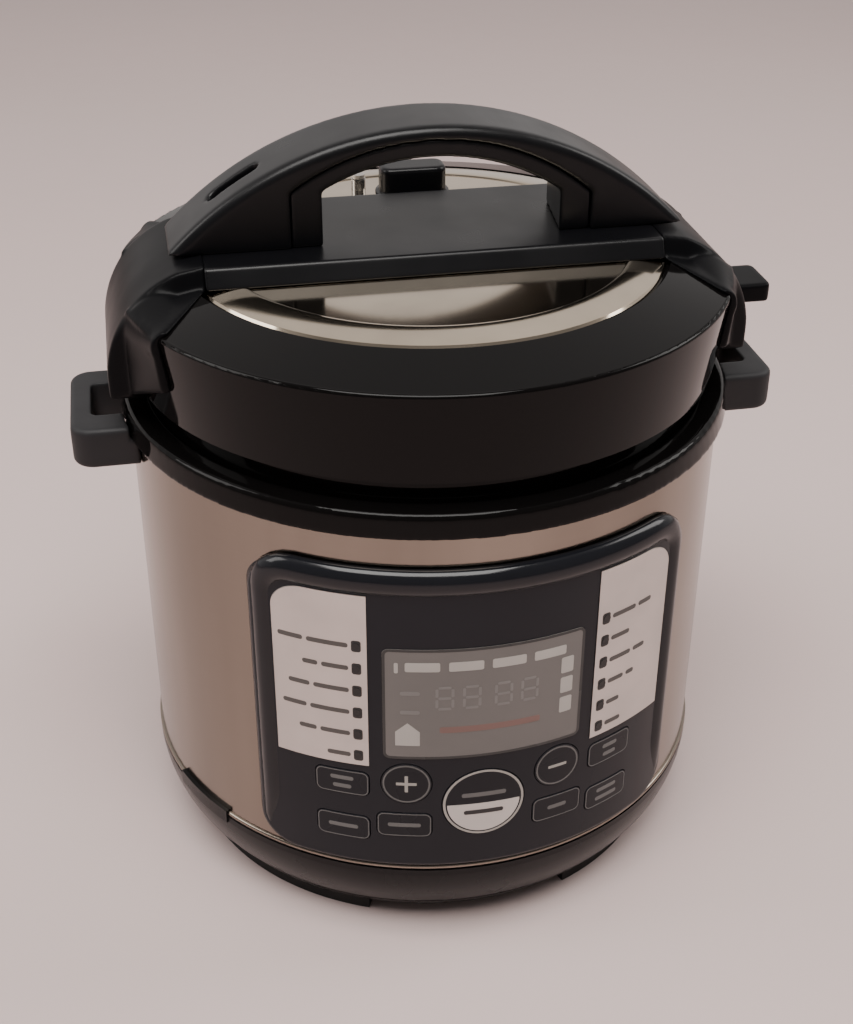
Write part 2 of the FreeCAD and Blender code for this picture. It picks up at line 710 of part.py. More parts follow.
def collar_ring():
    top_radius = COLLAR_RADIUS - COLLAR_TAPER
    bend = COLLAR_ROUND * (1 - math.sqrt(0.5))
    lip_bend = COLLAR_LIP * (1 - math.sqrt(0.5))
    ceiling = SHELL_TOP + COLLAR_CEILING
    collar = turned(
        (COLLAR_RADIUS, COLLAR_LOW),
        (top_radius, COLLAR_TOP - COLLAR_ROUND),
        ((top_radius - bend, COLLAR_TOP - bend), (top_radius - COLLAR_ROUND, COLLAR_TOP)),
        (COLLAR_INNER + COLLAR_LIP, COLLAR_TOP),
        ((COLLAR_INNER + lip_bend, COLLAR_TOP - lip_bend), (COLLAR_INNER, COLLAR_TOP - COLLAR_LIP)),
        (COLLAR_INNER, GUTTER_TOP),
        (OUTER_POT_RADIUS + POT_RIM_GAP, GUTTER_TOP),
        (OUTER_POT_RADIUS + POT_RIM_GAP, GUTTER_TOP - GUTTER_WALL),
        (COLLAR_INNER + COLLAR_SKIN, GUTTER_TOP - GUTTER_WALL),
        (COLLAR_INNER + COLLAR_SKIN, ceiling),
        (SHELL_RADIUS + FIT_GAP, ceiling),
        (SHELL_RADIUS + FIT_GAP, COLLAR_LOW),
    )
    end = COLLAR_RADIUS + SPOUT_REACH
    spout = block(
        (-SPOUT_WIDTH / 2, SHELL_RADIUS + SHELL_WALL, ceiling - SPOUT_DROP),
        (SPOUT_WIDTH / 2, end, COLLAR_TOP - DRAIN_BORE / 2),
    )
    drop_y = end - SPOUT_BORE - COLLAR_SKIN
    drain_z = ceiling + DRAIN_HEIGHT
    drop = disc(SPOUT_BORE, ceiling - SPOUT_DROP, drain_z, 0, drop_y)
    drain = Part.makeCylinder(
        DRAIN_BORE, drop_y, FreeCAD.Vector(0, 0, drain_z), FreeCAD.Vector(0, 1, 0)
    )
    return union([collar, spout.cut(disc(SHELL_RADIUS + FIT_GAP, 0, ceiling))]).cut([drop, drain])


def side_handle(side):
    half = LUG_WIDTH / 2
    body = rounded_rectangle(in_xy, LUG_END, -half, half, LUG_CORNER)
    body = body.translated(FreeCAD.Vector(0, 0, LUG_LOW)).extrude(FreeCAD.Vector(0, 0, LUG_HEIGHT))
    rims = [e for e in body.Edges if abs(e.BoundBox.ZMax - e.BoundBox.ZMin) < FIT_GAP]
    body = body.makeFillet(LUG_EDGE, rims)
    gap = rounded_rectangle(
        in_xy, LUG_END - LUG_OUTER_WALL, -half + LUG_END_WALL, half - LUG_END_WALL, LUG_SLOT_CORNER
    )
    gap = gap.extrude(FreeCAD.Vector(0, 0, COLLAR_TOP))
    over = disc(COLLAR_RADIUS + FIT_GAP, COLLAR_LOW - FIT_GAP, COLLAR_TOP)
    body = body.cut([disc(SHELL_RADIUS + FIT_GAP, 0, COLLAR_TOP), over, gap])
    low_x, high_x = sorted((0, side * 2 * LUG_END))
    one_side = block((low_x, -LUG_END, 0), (high_x, LUG_END, COLLAR_TOP))
    return cut_screws(body.common(one_side), lug_screw_seats())


# Pots and heater
def outer_pot():
    pot = turned(
        (OUTER_POT_HOLE, OUTER_POT_LOW),
        (OUTER_POT_RADIUS, OUTER_POT_LOW),
        (OUTER_POT_RADIUS, FLANGE_LOW),
        (OUTER_POT_RADIUS, OUTER_POT_TOP),
        (OUTER_POT_INNER, OUTER_POT_TOP),
        (OUTER_POT_INNER, OUTER_POT_FLOOR),
        (OUTER_POT_HOLE, OUTER_POT_FLOOR),
    )
    teeth = [
        ring_sector(OUTER_POT_RADIUS - FIT_GAP, FLANGE_RADIUS, FLANGE_LOW, OUTER_POT_TOP, a, TOOTH_SPAN)
        for a in spaced_angles(TOOTH_COUNT)
    ]
    return cut_screws(union([pot] + teeth), base_screw_seats())


def inner_pot():
    r = INNER_POT_RADIUS
    wall = INNER_POT_WALL
    low = INNER_POT_LOW
    bend_r = r - INNER_POT_BEND
    bend_z = low + INNER_POT_BEND
    reach = INNER_POT_BEND * math.sqrt(0.5)
    inner_reach = (INNER_POT_BEND - wall) * math.sqrt(0.5)
    return turned(
        (0, low),
        (bend_r, low),
        ((bend_r + reach, bend_z - reach), (r, bend_z)),
        (r, POT_RIM_LOW),
        (POT_RIM_RADIUS, POT_RIM_LOW),
        (POT_RIM_RADIUS, POT_RIM_TOP),
        (r - wall, POT_RIM_TOP),
        (r - wall, bend_z),
        ((bend_r + inner_reach, bend_z - inner_reach), (bend_r, low + wall)),
        (0, low + wall),
    )


def spring_plate():
    top = OUTER_POT_FLOOR + SPRING_PLATE_THICK
    plate = ring(SPRING_PLATE_INNER, SPRING_PLATE_OUTER, OUTER_POT_FLOOR, top)
    return cut_screws(plate, base_screw_seats())


def heating_plate():
    plate = ring(HEATER_HOLE, HEATER_RADIUS, HEATER_LOW, INNER_POT_LOW)
    low = OUTER_POT_FLOOR + SPRING_PLATE_THICK
    places = [at_angle(HEATER_LEG_CIRCLE, a) for a in spaced_angles(HEATER_LEG_COUNT)]
    return union([plate] + [disc(HEATER_LEG_RADIUS, low, HEATER_LOW, x, y) for x, y in places])


def heating_element():
    inner = ELEMENT_CIRCLE - ELEMENT_WIDTH / 2
    low = HEATER_LOW - ELEMENT_HEIGHT
    body = ring_sector(
        inner, inner + ELEMENT_WIDTH, low, HEATER_LOW, FULL_TURN / 2, FULL_TURN - ELEMENT_GAP_SPAN
    )
    ends = [at_angle(ELEMENT_CIRCLE, side * ELEMENT_GAP_SPAN) for side in (-1, 1)]
    block_top = POWER_BOARD_TOP + RELAY_SIZE[2]
    return union([body] + [disc(TERMINAL_RADIUS, block_top, low, x, y) for x, y in ends])


def sensor_bracket():
    low = HEATER_LOW - BRACKET_DROP
    half = BRACKET_HALF_LENGTH
    width = BRACKET_WIDTH / 2
    strap = block((-half, -width, low), (half, width, low + BRACKET_THICK))
    legs = [block((x, -width, low), (x + BRACKET_THICK, width, HEATER_LOW))
            for x in (-half, half - BRACKET_THICK)]
    return union([strap] + legs)


def sensor_stem_low():
    return HEATER_LOW - BRACKET_DROP + BRACKET_THICK + SENSOR_TRAVEL + RUN_GAP


def sensor_cap():
    top = INNER_POT_LOW - RUN_GAP
    neck = top - SENSOR_HEAD_HEIGHT
    head = disc(HEATER_HOLE - RUN_GAP, neck, top)
    return union([head, disc(SENSOR_STEM_RADIUS, sensor_stem_low(), neck)])


def sensor_spring():
    inner = SENSOR_STEM_RADIUS + RUN_GAP
    low = HEATER_LOW - BRACKET_DROP + BRACKET_THICK
    top = INNER_POT_LOW - RUN_GAP - SENSOR_HEAD_HEIGHT
    return ring(inner, inner + SENSOR_SPRING_WALL, low, top)


def pressure_switch():
    x, y = at_angle(OUTER_POT_HOLE + SWITCH_INSET, SWITCH_ANGLE)
    top = BASE_FLOOR_TOP + SWITCH_HEIGHT
    body = block((x - SWITCH_LENGTH / 2, y - SWITCH_WIDTH / 2, BASE_FLOOR_TOP),
                 (x + SWITCH_LENGTH / 2, y + SWITCH_WIDTH / 2, top))
    return union([body, disc(SWITCH_PLUNGER, top, OUTER_POT_LOW - POT_RIM_GAP, x, y)])


def thermal_fuse():
    half = FUSE_LENGTH / 2
    low = (-half, FUSE_OFFSET - FUSE_WIDTH / 2, HEATER_LOW - FUSE_HEIGHT)
    return block(low, (half, FUSE_OFFSET + FUSE_WIDTH / 2, HEATER_LOW))


# Electrics in the base
def power_stand_places():
    x = POWER_BOARD_HALF_WIDTH - STAND_INSET
    front = POWER_BOARD_FRONT + STAND_INSET
    back = POWER_BOARD_BACK - STAND_INSET
    return [(x, front), (-x, front), (x, back), (-x, back)]


def power_board():
    w = POWER_BOARD_HALF_WIDTH
    return block((-w, POWER_BOARD_FRONT, POWER_BOARD_LOW), (w, POWER_BOARD_BACK, POWER_BOARD_TOP))


# A block on the power board, placed from the middle of its front edge
def on_board(place, size):
    low = (place[0], POWER_BOARD_FRONT + place[1], POWER_BOARD_TOP)
    return block(low, tuple(a + b for a, b in zip(low, size)))


def power_board_parts():
    top = POWER_BOARD_TOP + CAPACITOR_HEIGHT
    capacitors = [disc(CAPACITOR_RADIUS, POWER_BOARD_TOP, top, x, POWER_BOARD_FRONT + y)
                  for x, y in CAPACITOR_PLACES]
    terminals = on_board((-BLOCK_HALF_WIDTH, POWER_BOARD_DEPTH - BLOCK_DEPTH),
                         (BLOCK_HALF_WIDTH * 2, BLOCK_DEPTH, RELAY_SIZE[2]))
    connector = on_board((-CONNECTOR_HALF_WIDTH, 0),
                         (CONNECTOR_HALF_WIDTH * 2, CONNECTOR_DEPTH, CONNECTOR_HEIGHT))
    others = [on_board(RELAY_PLACE, RELAY_SIZE), on_board(COIL_PLACE, COIL_SIZE)]
    return Part.makeCompound(capacitors + others + [terminals, connector])


def ribbon_cable():
    start = POWER_BOARD_FRONT + CONNECTOR_DEPTH
    low = POWER_BOARD_TOP + CONNECTOR_HEIGHT
    back = BOARD_BACK_Y + FIT_GAP
    strip = face(
        in_yz,
        (start, low),
        (back, low),
        (back, low + RIBBON_RISE),
        (back + RIBBON_THICK, low + RIBBON_RISE),
        (back + RIBBON_THICK, low + RIBBON_THICK),
        (start, low + RIBBON_THICK),
    )
    strip = strip.translated(FreeCAD.Vector(-RIBBON_HALF_WIDTH, 0, 0))
    return strip.extrude(FreeCAD.Vector(RIBBON_HALF_WIDTH * 2, 0, 0))


def inlet_block(gap):
    w = INLET_HALF_WIDTH + gap
    top = INLET_LOW + INLET_HEIGHT + gap
    return block((-w, INLET_BACK - gap, INLET_LOW - gap), (w, INLET_FACE + gap, top))


def inlet_housing():
    middle = INLET_LOW + INLET_HEIGHT / 2
    half = SOCKET_WIDTH / 2
    low = middle - SOCKET_HEIGHT / 2
    high = middle + SOCKET_HEIGHT / 2
    mouth = face(
        in_xz,
        (-half, low),
        (half, low),
        (half, high - SOCKET_CHAMFER),
        (half - SOCKET_CHAMFER, high),
        (-half + SOCKET_CHAMFER, high),
        (-half, high - SOCKET_CHAMFER),
    )
    mouth = mouth.translated(FreeCAD.Vector(0, INLET_FACE - SOCKET_DEPTH, 0))
    return inlet_block(0).cut(mouth.extrude(FreeCAD.Vector(0, SOCKET_DEPTH * 2, 0)))


def inlet_pins():
    start = INLET_FACE - SOCKET_DEPTH
    middle = INLET_LOW + INLET_HEIGHT / 2
    places = [(-PIN_SPREAD, -PIN_RISE), (PIN_SPREAD, -PIN_RISE), (0, PIN_RISE)]
    return Part.makeCompound([
        block((x - PIN_THICK / 2, start, middle + z - PIN_WIDTH / 2),
              (x + PIN_THICK / 2, start + PIN_LENGTH, middle + z + PIN_WIDTH / 2))
        for x, z in places
    ])


def mains_wires():
    length = INLET_BACK - POWER_BOARD_BACK
    first = -WIRE_PITCH * (WIRE_COUNT - 1) / 2
    wires = []
    for i in range(WIRE_COUNT):
        start = FreeCAD.Vector(first + i * WIRE_PITCH, POWER_BOARD_BACK, WIRE_HEIGHT)
        wires.append(Part.makeCylinder(WIRE_RADIUS, length, start, FreeCAD.Vector(0, 1, 0)))
    return Part.makeCompound(wires)


# Control panel
def cap_flat(cap, grow):
    width, tall = cap
    if tall is None:
        circle = Part.makeCircle(width / 2 + grow, ORIGIN, FreeCAD.Vector(0, 1, 0))
        return Part.Face(Part.Wire([circle]))
    half = tall / 2 + grow
    return rounded_rectangle(in_xz, width / 2 + grow, -half, half, KEY_CORNER + grow)


def panel_angle(arc):
    return math.degrees(arc / PANEL_RADIUS)


def key_prism(name, grow):
    arc, height, cap = KEYS[name]
    flat = cap_flat(cap, grow).translated(FreeCAD.Vector(0, 0, height))
    return front_prism(flat, panel_angle(arc))


def key(name):
    cap = key_prism(name, 0).common(panel_layer(KEY_BACK, PANEL_RADIUS + KEY_PROUD))
    lip = key_prism(name, KEY_LIP).common(panel_layer(KEY_BACK, KEY_BACK + KEY_LIP_THICK))
    return union([cap, lip])


def display_flat(inset):
    half = DISPLAY_WIDTH / 2 - inset
    return rounded_rectangle(
        in_xz, half, DISPLAY_LOW + inset, DISPLAY_LOW + DISPLAY_HEIGHT - inset, DISPLAY_CORNER
    )


def light_peg(side, number, grow):
    z = LIGHT_LOW + number * LIGHT_PITCH
    length = LIGHT_SINK + PANEL_THICK + LABEL_THICK + LIGHT_PROUD
    start = FreeCAD.Vector(0, LIGHT_SINK - PANEL_INNER, z)
    peg = Part.makeCylinder(LIGHT_RADIUS + grow, length, start, FreeCAD.Vector(0, -1, 0))
    return to_angle(peg, side * LIGHT_ANGLE)


def light_pegs(grow):
    return [light_peg(side, i, grow) for side in (-1, 1) for i in range(LIGHT_COUNT)]


def panel_blank():
    high = PANEL_LOW + PANEL_HEIGHT
    flat = rounded_rectangle(in_xz, PANEL_WIDTH / 2, PANEL_LOW, high, PANEL_CORNER)
    blank = front_prism(flat).common(panel_layer(PANEL_INNER, PANEL_RADIUS)).Solids[0]
    rim = []
    for edge in blank.Edges:
        middle = edge.valueAt((edge.FirstParameter + edge.LastParameter) / 2)
        if math.hypot(middle.x, middle.y) > PANEL_RADIUS - FIT_GAP:
            rim.append(edge)
    return blank.makeFillet(PANEL_ROUND, rim)


def panel_bezel():
    posts = []
    for x, z in board_screw_places():
        post = Part.makeCylinder(
            STAND_RADIUS, SHELL_RADIUS + BOARD_FRONT_Y, FreeCAD.Vector(x, BOARD_FRONT_Y, z),
            FreeCAD.Vector(0, -1, 0),
        )
        posts.append(post.common(disc(PANEL_INNER + PANEL_THICK / 2, 0, COLLAR_TOP)))
    bezel = union([panel_blank()] + posts)
    holes = [key_prism(name, RUN_GAP) for name in KEYS] + light_pegs(FIT_GAP)
    skin = panel_layer(PANEL_INNER - PANEL_ROUND, PANEL_RADIUS + PANEL_ROUND)
    window = front_prism(display_flat(0)).common(skin)
    return cut_screws(bezel.cut(holes + [window]), board_screw_seats())


def label_plate(side):
    low = LABEL_LOW
    high = LABEL_LOW + LABEL_HEIGHT
    bend = LABEL_CORNER * (1 - math.sqrt(0.5))
    inner = side * LABEL_INNER
    outer = side * (LABEL_INNER + LABEL_WIDTH)
    flat = face(
        in_xz,
        (inner, low),
        (outer, low),
        (outer, high - LABEL_CORNER),
        ((outer - side * bend, high - bend), (outer - side * LABEL_CORNER, high)),
        (inner, high),
    )
    skin = panel_layer(PANEL_RADIUS + FIT_GAP / 2, PANEL_RADIUS + LABEL_THICK)
    return front_prism(flat).common(skin).cut(light_pegs(FIT_GAP))


def display_window():
    skin = panel_layer(PANEL_RADIUS + KEY_PROUD - DISPLAY_THICK, PANEL_RADIUS + KEY_PROUD)
    return front_prism(display_flat(FIT_GAP)).common(skin)


def indicator_lights():
    return Part.makeCompound(light_pegs(0))


def control_board():
    w = CONTROL_BOARD_HALF_WIDTH
    board = block((-w, BOARD_FRONT_Y, BOARD_LOW), (w, BOARD_BACK_Y, BOARD_LOW + CONTROL_BOARD_HEIGHT))
    return cut_screws(board, board_screw_seats())


def display_module():
    w = DISPLAY_MODULE_HALF_WIDTH
    low = DISPLAY_LOW + DISPLAY_MODULE_INSET
    high = DISPLAY_LOW + DISPLAY_HEIGHT - DISPLAY_MODULE_INSET
    return block((-w, BOARD_FRONT_Y - DISPLAY_MODULE_DEPTH, low), (w, BOARD_FRONT_Y, high))


def key_membrane():
    half = panel_angle(MEMBRANE_HALF_ARC)
    rim = panel_angle(MEMBRANE_RIM)
    sheet = ring_sector(MEMBRANE_BACK, MEMBRANE_FRONT, MEMBRANE_LOW, MEMBRANE_TOP, 0, 2 * half)
    seat = PANEL_INNER - FIT_GAP
    middle = half - rim / 2
    rails = [
        ring_sector(MEMBRANE_BACK, seat, MEMBRANE_LOW, MEMBRANE_TOP, side * middle, rim)
        for side in (-1, 1)
    ]
    domes = []
    for arc, height, _ in KEYS.values():
        start = FreeCAD.Vector(0, -MEMBRANE_BACK - MEMBRANE_THICK / 2, height)
        dome = Part.makeCylinder(
            KEY_DOME_RADIUS, MEMBRANE_THICK / 2 + MEMBRANE_DOME, start, FreeCAD.Vector(0, -1, 0)
        )
        domes.append(to_angle(dome, panel_angle(arc)))
    return union([sheet] + rails + domes)


# Condensation cup
def cup_bracket():
    half = CUP_HALF_WIDTH + RUN_GAP
    seat = SHELL_RADIUS + FIT_GAP
    low = CUP_FLANGE_LOW - RUN_GAP - CUP_RAIL_HEIGHT
    high = low + CUP_PLATE_HEIGHT
    end = CUP_FRONT + CUP_DEPTH
    plate = face(in_xz, (-half, low), (half, low), (half, high), (-half, high))
    plate = plate.extrude(FreeCAD.Vector(0, seat + CUP_PLATE_THICK, 0))
    plate = plate.common(disc(seat + CUP_PLATE_THICK, 0, COLLAR_TOP))
    rails = [
        block((x, SHELL_RADIUS / 2, low), (x + CUP_RAIL_WIDTH, end, low + CUP_RAIL_HEIGHT))
        for x in (-half - CUP_RAIL_WIDTH, half)
    ]
    bracket = union([plate] + rails).cut(disc(seat, 0, COLLAR_TOP))
    return cut_screws(bracket, cup_screw_seats())


def condensation_cup():
    low = CUP_TOP - CUP_HEIGHT
    back = CUP_FRONT + CUP_DEPTH
    outer = rounded_rectangle(in_xy, CUP_HALF_WIDTH, CUP_FRONT, back, CUP_CORNER)
    outer = outer.translated(FreeCAD.Vector(0, 0, low)).extrude(FreeCAD.Vector(0, 0, CUP_HEIGHT))
    reach = CUP_HALF_WIDTH + CUP_FLANGE_REACH
    flange = block((-reach, CUP_FRONT + CUP_CORNER, CUP_FLANGE_LOW),
                   (reach, back - CUP_CORNER, CUP_FLANGE_LOW + CUP_FLANGE_THICK))
    inner = rounded_rectangle(
        in_xy, CUP_HALF_WIDTH - CUP_WALL, CUP_FRONT + CUP_WALL, back - CUP_WALL, CUP_CORNER - CUP_WALL
    )
    inner = inner.translated(FreeCAD.Vector(0, 0, low + CUP_WALL)).extrude(FreeCAD.Vector(0, 0, CUP_HEIGHT))
    return union([outer, flange]).cut(inner)


# Lid
def lid_screw_seats():
    places = [at_angle(LID_SCREW_CIRCLE, a) for a in spaced_angles(LID_SCREW_COUNT)]
    grip = LID_STEEL_THICK + LID_LIP_THICK
    return [((x, y, LID_STEEL_LOW), (0, 0, 1), grip) for x, y in places]


def bridge_screw_seats():
    seat = PLATE_SEAT + FIT_GAP
    grip = BRIDGE_LOW - seat + BRIDGE_SCREW_GRIP
    return [((x, y, seat), (0, 0, 1), grip)
            for x in (-BRIDGE_SCREW_X, BRIDGE_SCREW_X) for y in (-BRIDGE_SCREW_Y, BRIDGE_SCREW_Y)]


def lid_steel():
    dish = union([
        disc(SKIRT_OUTER, LID_STEEL_LOW, LID_STEEL_TOP),
        ring(SKIRT_INNER, SKIRT_OUTER, SKIRT_LOW, LID_STEEL_TOP),
        ring(RACK_RADIUS - RACK_WALL, RACK_RADIUS, LID_STEEL_LOW - RACK_DEPTH, LID_STEEL_TOP),
    ])
    low = LID_TOOTH_TOP - LID_TOOTH_THICK
    teeth = [
        ring_sector(LID_TOOTH_INNER, SKIRT_OUTER - FIT_GAP, low, LID_TOOTH_TOP, a, LID_TOOTH_SPAN)
        for a in spaced_angles(TOOTH_COUNT, LID_TURN)
    ]
    holes = [
        disc(VENT_RADIUS + FIT_GAP, 0, LID_STEEL_TOP, *VALVE_PLACE),
        disc(float_guide_radius() + FIT_GAP, 0, LID_STEEL_TOP, *FLOAT_PLACE),
    ]
    return cut_screws(union([dish] + teeth).cut(holes), lid_screw_seats())


def gasket():
    inner = RACK_RADIUS + RUN_GAP
    outer = SKIRT_INNER - RUN_GAP
    low = GASKET_LOW
    high = GASKET_LOW + GASKET_HEIGHT
    notch_low = low + GASKET_LIP
    notch_high = high - GASKET_LIP
    return turned(
        (inner, low),
        (outer, low),
        (outer, high),
        (inner, high),
        (inner, notch_high),
        (inner + GASKET_LIP, notch_high),
        (inner + GASKET_LIP, notch_low),
        (inner, notch_low),
    )


# The room inside the lid's wall and over its plate, where the arms do not reach
def lid_room(gap):
    rim = PLATE_RADIUS + PLATE_GROOVE
    keep = rim + ARM_SETBACK
    slope = LID_BEVEL_RISE / (LID_RADIUS - LID_EDGE_ROUND - rim)
    over = BEVEL_TOP - slope * ARM_SETBACK
    depth = LID_WALL + ARM_SINK
    return turned(
        (0, LID_STEEL_TOP),
        (LID_LOW_RADIUS - depth + gap, LID_STEEL_TOP),
        (LID_RADIUS - depth + gap, LID_EDGE - depth + gap),
        (keep + gap, over - depth + gap),
        (keep + gap, over + gap),
        (rim, BEVEL_TOP + gap),
        (PLATE_FLAT_RADIUS, PLATE_TOP + gap),
        (0, PLATE_TOP + gap),
    )


# The lid's outside, pushed out by a gap
def lid_envelope(gap):
    bend = LID_EDGE_ROUND * (1 - math.sqrt(0.5))
    edge = LID_RADIUS + gap
    top = LID_EDGE + gap
    return turned(
        (0, LID_STEEL_TOP),
        (LID_LOW_RADIUS + gap, LID_STEEL_TOP),
        (edge, top - LID_EDGE_ROUND),
        ((edge - bend, top - bend), (edge - LID_EDGE_ROUND, top)),
        (PLATE_RADIUS + PLATE_GROOVE, BEVEL_TOP + gap),
        (0, BEVEL_TOP + gap),
    )


def lid_cover():
    seat_radius = PLATE_RADIUS + PLATE_GROOVE
    ledge_radius = PLATE_RADIUS - PLATE_LEDGE
    edge_r = LID_RADIUS - LID_EDGE_ROUND
    bend = LID_EDGE_ROUND * (1 - math.sqrt(0.5))
    lip_top = LID_STEEL_TOP + LID_LIP_THICK
    cover = turned(
        (seat_radius, BEVEL_TOP),
        (edge_r, LID_EDGE),
        ((LID_RADIUS - bend, LID_EDGE - bend), (LID_RADIUS, LID_EDGE - LID_EDGE_ROUND)),
        (LID_LOW_RADIUS, LID_STEEL_TOP),
        (LID_LIP_RADIUS, LID_STEEL_TOP),
        (LID_LIP_RADIUS, lip_top),
        (LID_LOW_RADIUS - LID_WALL, lip_top),
        (LID_RADIUS - LID_WALL, LID_EDGE - LID_WALL),
        (ledge_radius, PLATE_SEAT - LID_WALL),
        (ledge_radius, PLATE_SEAT),
        (seat_radius, PLATE_SEAT),
    )
    cover = cover.cut([arm_notch(side, FIT_GAP) for side in (-1, 1)])
    return cut_screws(cover, lid_screw_seats())


def lid_plate():
    edge = PLATE_EDGE - PLATE_THICK
    plate = turned(
        (PLATE_RADIUS, PLATE_SEAT),
        (PLATE_RADIUS, PLATE_SEAT + edge),
        (PLATE_RADIUS - edge, BEVEL_TOP),
        (PLATE_FLAT_RADIUS, PLATE_TOP),
        (0, PLATE_TOP),
        (0, PLATE_TOP - PLATE_THICK),
        (PLATE_FLAT_RADIUS, PLATE_TOP - PLATE_THICK),
        (PLATE_RADIUS - PLATE_LEDGE, PLATE_SEAT),
    )
    holes = [
        disc(VENT_RADIUS + VENT_PLATE_GAP, 0, BRIDGE_TOP, *VALVE_PLACE),
        disc(float_guide_radius() + FIT_GAP, 0, BRIDGE_TOP, *FLOAT_PLACE),
    ]
    return cut_screws(plate.cut(holes), bridge_screw_seats())


def lid_screws():
    return Part.makeCompound([screw(*seat) for seat in lid_screw_seats() + bridge_screw_seats()])


# Lid handle
def handle_bridge():
    section = face(
        in_yz,
        (-BRIDGE_LOW_HALF_WIDTH, BRIDGE_LOW),
        (BRIDGE_LOW_HALF_WIDTH, BRIDGE_LOW),
        (BRIDGE_TOP_HALF_WIDTH, BRIDGE_TOP),
        (-BRIDGE_TOP_HALF_WIDTH, BRIDGE_TOP),
    )
    section = section.translated(FreeCAD.Vector(-BRIDGE_HALF_LENGTH, 0, 0))
    bar = section.extrude(FreeCAD.Vector(2 * BRIDGE_HALF_LENGTH, 0, 0))
    back = BRIDGE_LOW_HALF_WIDTH + SHELF_REACH
    shelf = block((-SHELF_HALF_LENGTH, 0, BRIDGE_LOW), (SHELF_HALF_LENGTH, back, BRIDGE_TOP))
    return cut_screws(union([bar, shelf]), bridge_screw_seats())


# The grip's window reaches further to the right, and widens towards the back
def window_outline(y, side, top):
    centre = BRIDGE_TOP + WINDOW_CROWN - WINDOW_ARC_RADIUS
    radius = WINDOW_ARC_RADIUS + top
    left = -WINDOW_LEFT - side
    right = WINDOW_RIGHT + side
    return outline(
        across_y(y),
        (left, BRIDGE_TOP),
        (right, BRIDGE_TOP),
        (right, centre + math.sqrt(radius ** 2 - right ** 2)),
        ((0, centre + radius), (left, centre + math.sqrt(radius ** 2 - left ** 2))),
    )


def window(side, top):
    front_end = window_outline(-BRIDGE_LOW_HALF_WIDTH, side, top)
    back_end = window_outline(BRIDGE_LOW_HALF_WIDTH, side + WINDOW_BACK_FLARE, top)
    return Part.makeLoft([front_end, back_end], True, True)


def across_y(y):
    def place(x, z):
        return FreeCAD.Vector(x, y, z)

    return place


def across(flat, half_width):
    return flat.translated(FreeCAD.Vector(0, -half_width, 0)).extrude(FreeCAD.Vector(0, 2 * half_width, 0))


def grip_arc_radius():
    rise = GRIP_RISE - GRIP_TOE
    return (GRIP_HALF_LENGTH ** 2 + rise ** 2) / (2 * rise)


def grip_slot():
    half = GRIP_SLOT_WIDTH / 2
    long = GRIP_SLOT_LENGTH / 2 - half
    top = BRIDGE_TOP + GRIP_RISE
    low = top - GRIP_SLOT_DEPTH
    slot = union([
        block((-long, -half, low), (long, half, top + GRIP_EDGE)),
        disc(half, low, top + GRIP_EDGE, -long),
        disc(half, low, top + GRIP_EDGE, long),
    ])
    centre = FreeCAD.Vector(0, 0, top - grip_arc_radius())
    lean = math.degrees(math.asin(GRIP_SLOT_X / grip_arc_radius()))
    return slot.rotated(centre, FreeCAD.Vector(0, 1, 0), lean)


def handle_grip():
    low = BRIDGE_TOP
    flat = face(
        in_xz,
        (-GRIP_HALF_LENGTH, low),
        (GRIP_HALF_LENGTH, low),
        (GRIP_HALF_LENGTH, low + GRIP_TOE),
        ((0, low + GRIP_RISE), (-GRIP_HALF_LENGTH, low + GRIP_TOE)),
    )
    arch = across(flat, GRIP_HALF_WIDTH)
    crown = [e for e in arch.Edges if e.BoundBox.ZMax > low + GRIP_RISE / 2]
    arch = arch.makeFillet(GRIP_EDGE, crown)
    return arch.cut([window(LINER_SIDE_WALL + FIT_GAP, LINER_TOP_WALL + FIT_GAP), grip_slot()])


def handle_liner():
    deep = GRIP_HALF_WIDTH - LINER_SETBACK
    reach = GRIP_HALF_LENGTH
    room = block((-reach, -deep, BRIDGE_TOP), (reach, deep, BRIDGE_TOP + GRIP_RISE))
    return window(LINER_SIDE_WALL, LINER_TOP_WALL).cut(window(0, 0)).common(room)


# The arm is lofted through a tip, a shoulder and the strap, and back again
def strap_outline(y):
    low = LID_STEEL_TOP + FIT_GAP
    return outline(
        across_y(y),
        (BRIDGE_HALF_LENGTH, BRIDGE_TOP),
        (ARM_NECK_X, BRIDGE_TOP - ARM_NECK_DROP),
        ((ARM_BEND_X, BRIDGE_TOP - ARM_BEND_DROP), (ARM_OUTER, low + ARM_HEEL_HEIGHT)),
        (ARM_OUTER, low),
        (BRIDGE_HALF_LENGTH, low),
    )


def shoulder_outline(y):
    top = BRIDGE_TOP - SHOULDER_DROP
    low = LID_STEEL_TOP + SHOULDER_RISE
    bend = (SHOULDER_BEND_X, top - SHOULDER_BEND_DROP)
    return outline(
        across_y(y),
        (BRIDGE_HALF_LENGTH, top),
        (ARM_NECK_X, top - ARM_NECK_DROP),
        (bend, (SHOULDER_OUTER, low + SHOULDER_HEEL_HEIGHT)),
        (SHOULDER_OUTER, low),
        (BRIDGE_HALF_LENGTH, low),
    )


def tip_outline(y):
    edge = math.sqrt(LID_RADIUS ** 2 - TIP_HALF_WIDTH ** 2) + TIP_SKIN
    start = edge - TIP_LAP
    top = LID_EDGE + TIP_SKIN
    low = LID_STEEL_TOP + TIP_RISE
    bend = (edge - TIP_SKIN / 2, top - TIP_SKIN)
    return outline(
        across_y(y),
        (start, top),
        (start + TIP_SKIN, top),
        (bend, (edge, top - ARM_HEEL_HEIGHT)),
        (edge - TIP_SKIN, low),
        (start, low),
    )


def to_side(shape, side):
    return shape if side > 0 else shape.mirror(ORIGIN, FreeCAD.Vector(1, 0, 0))


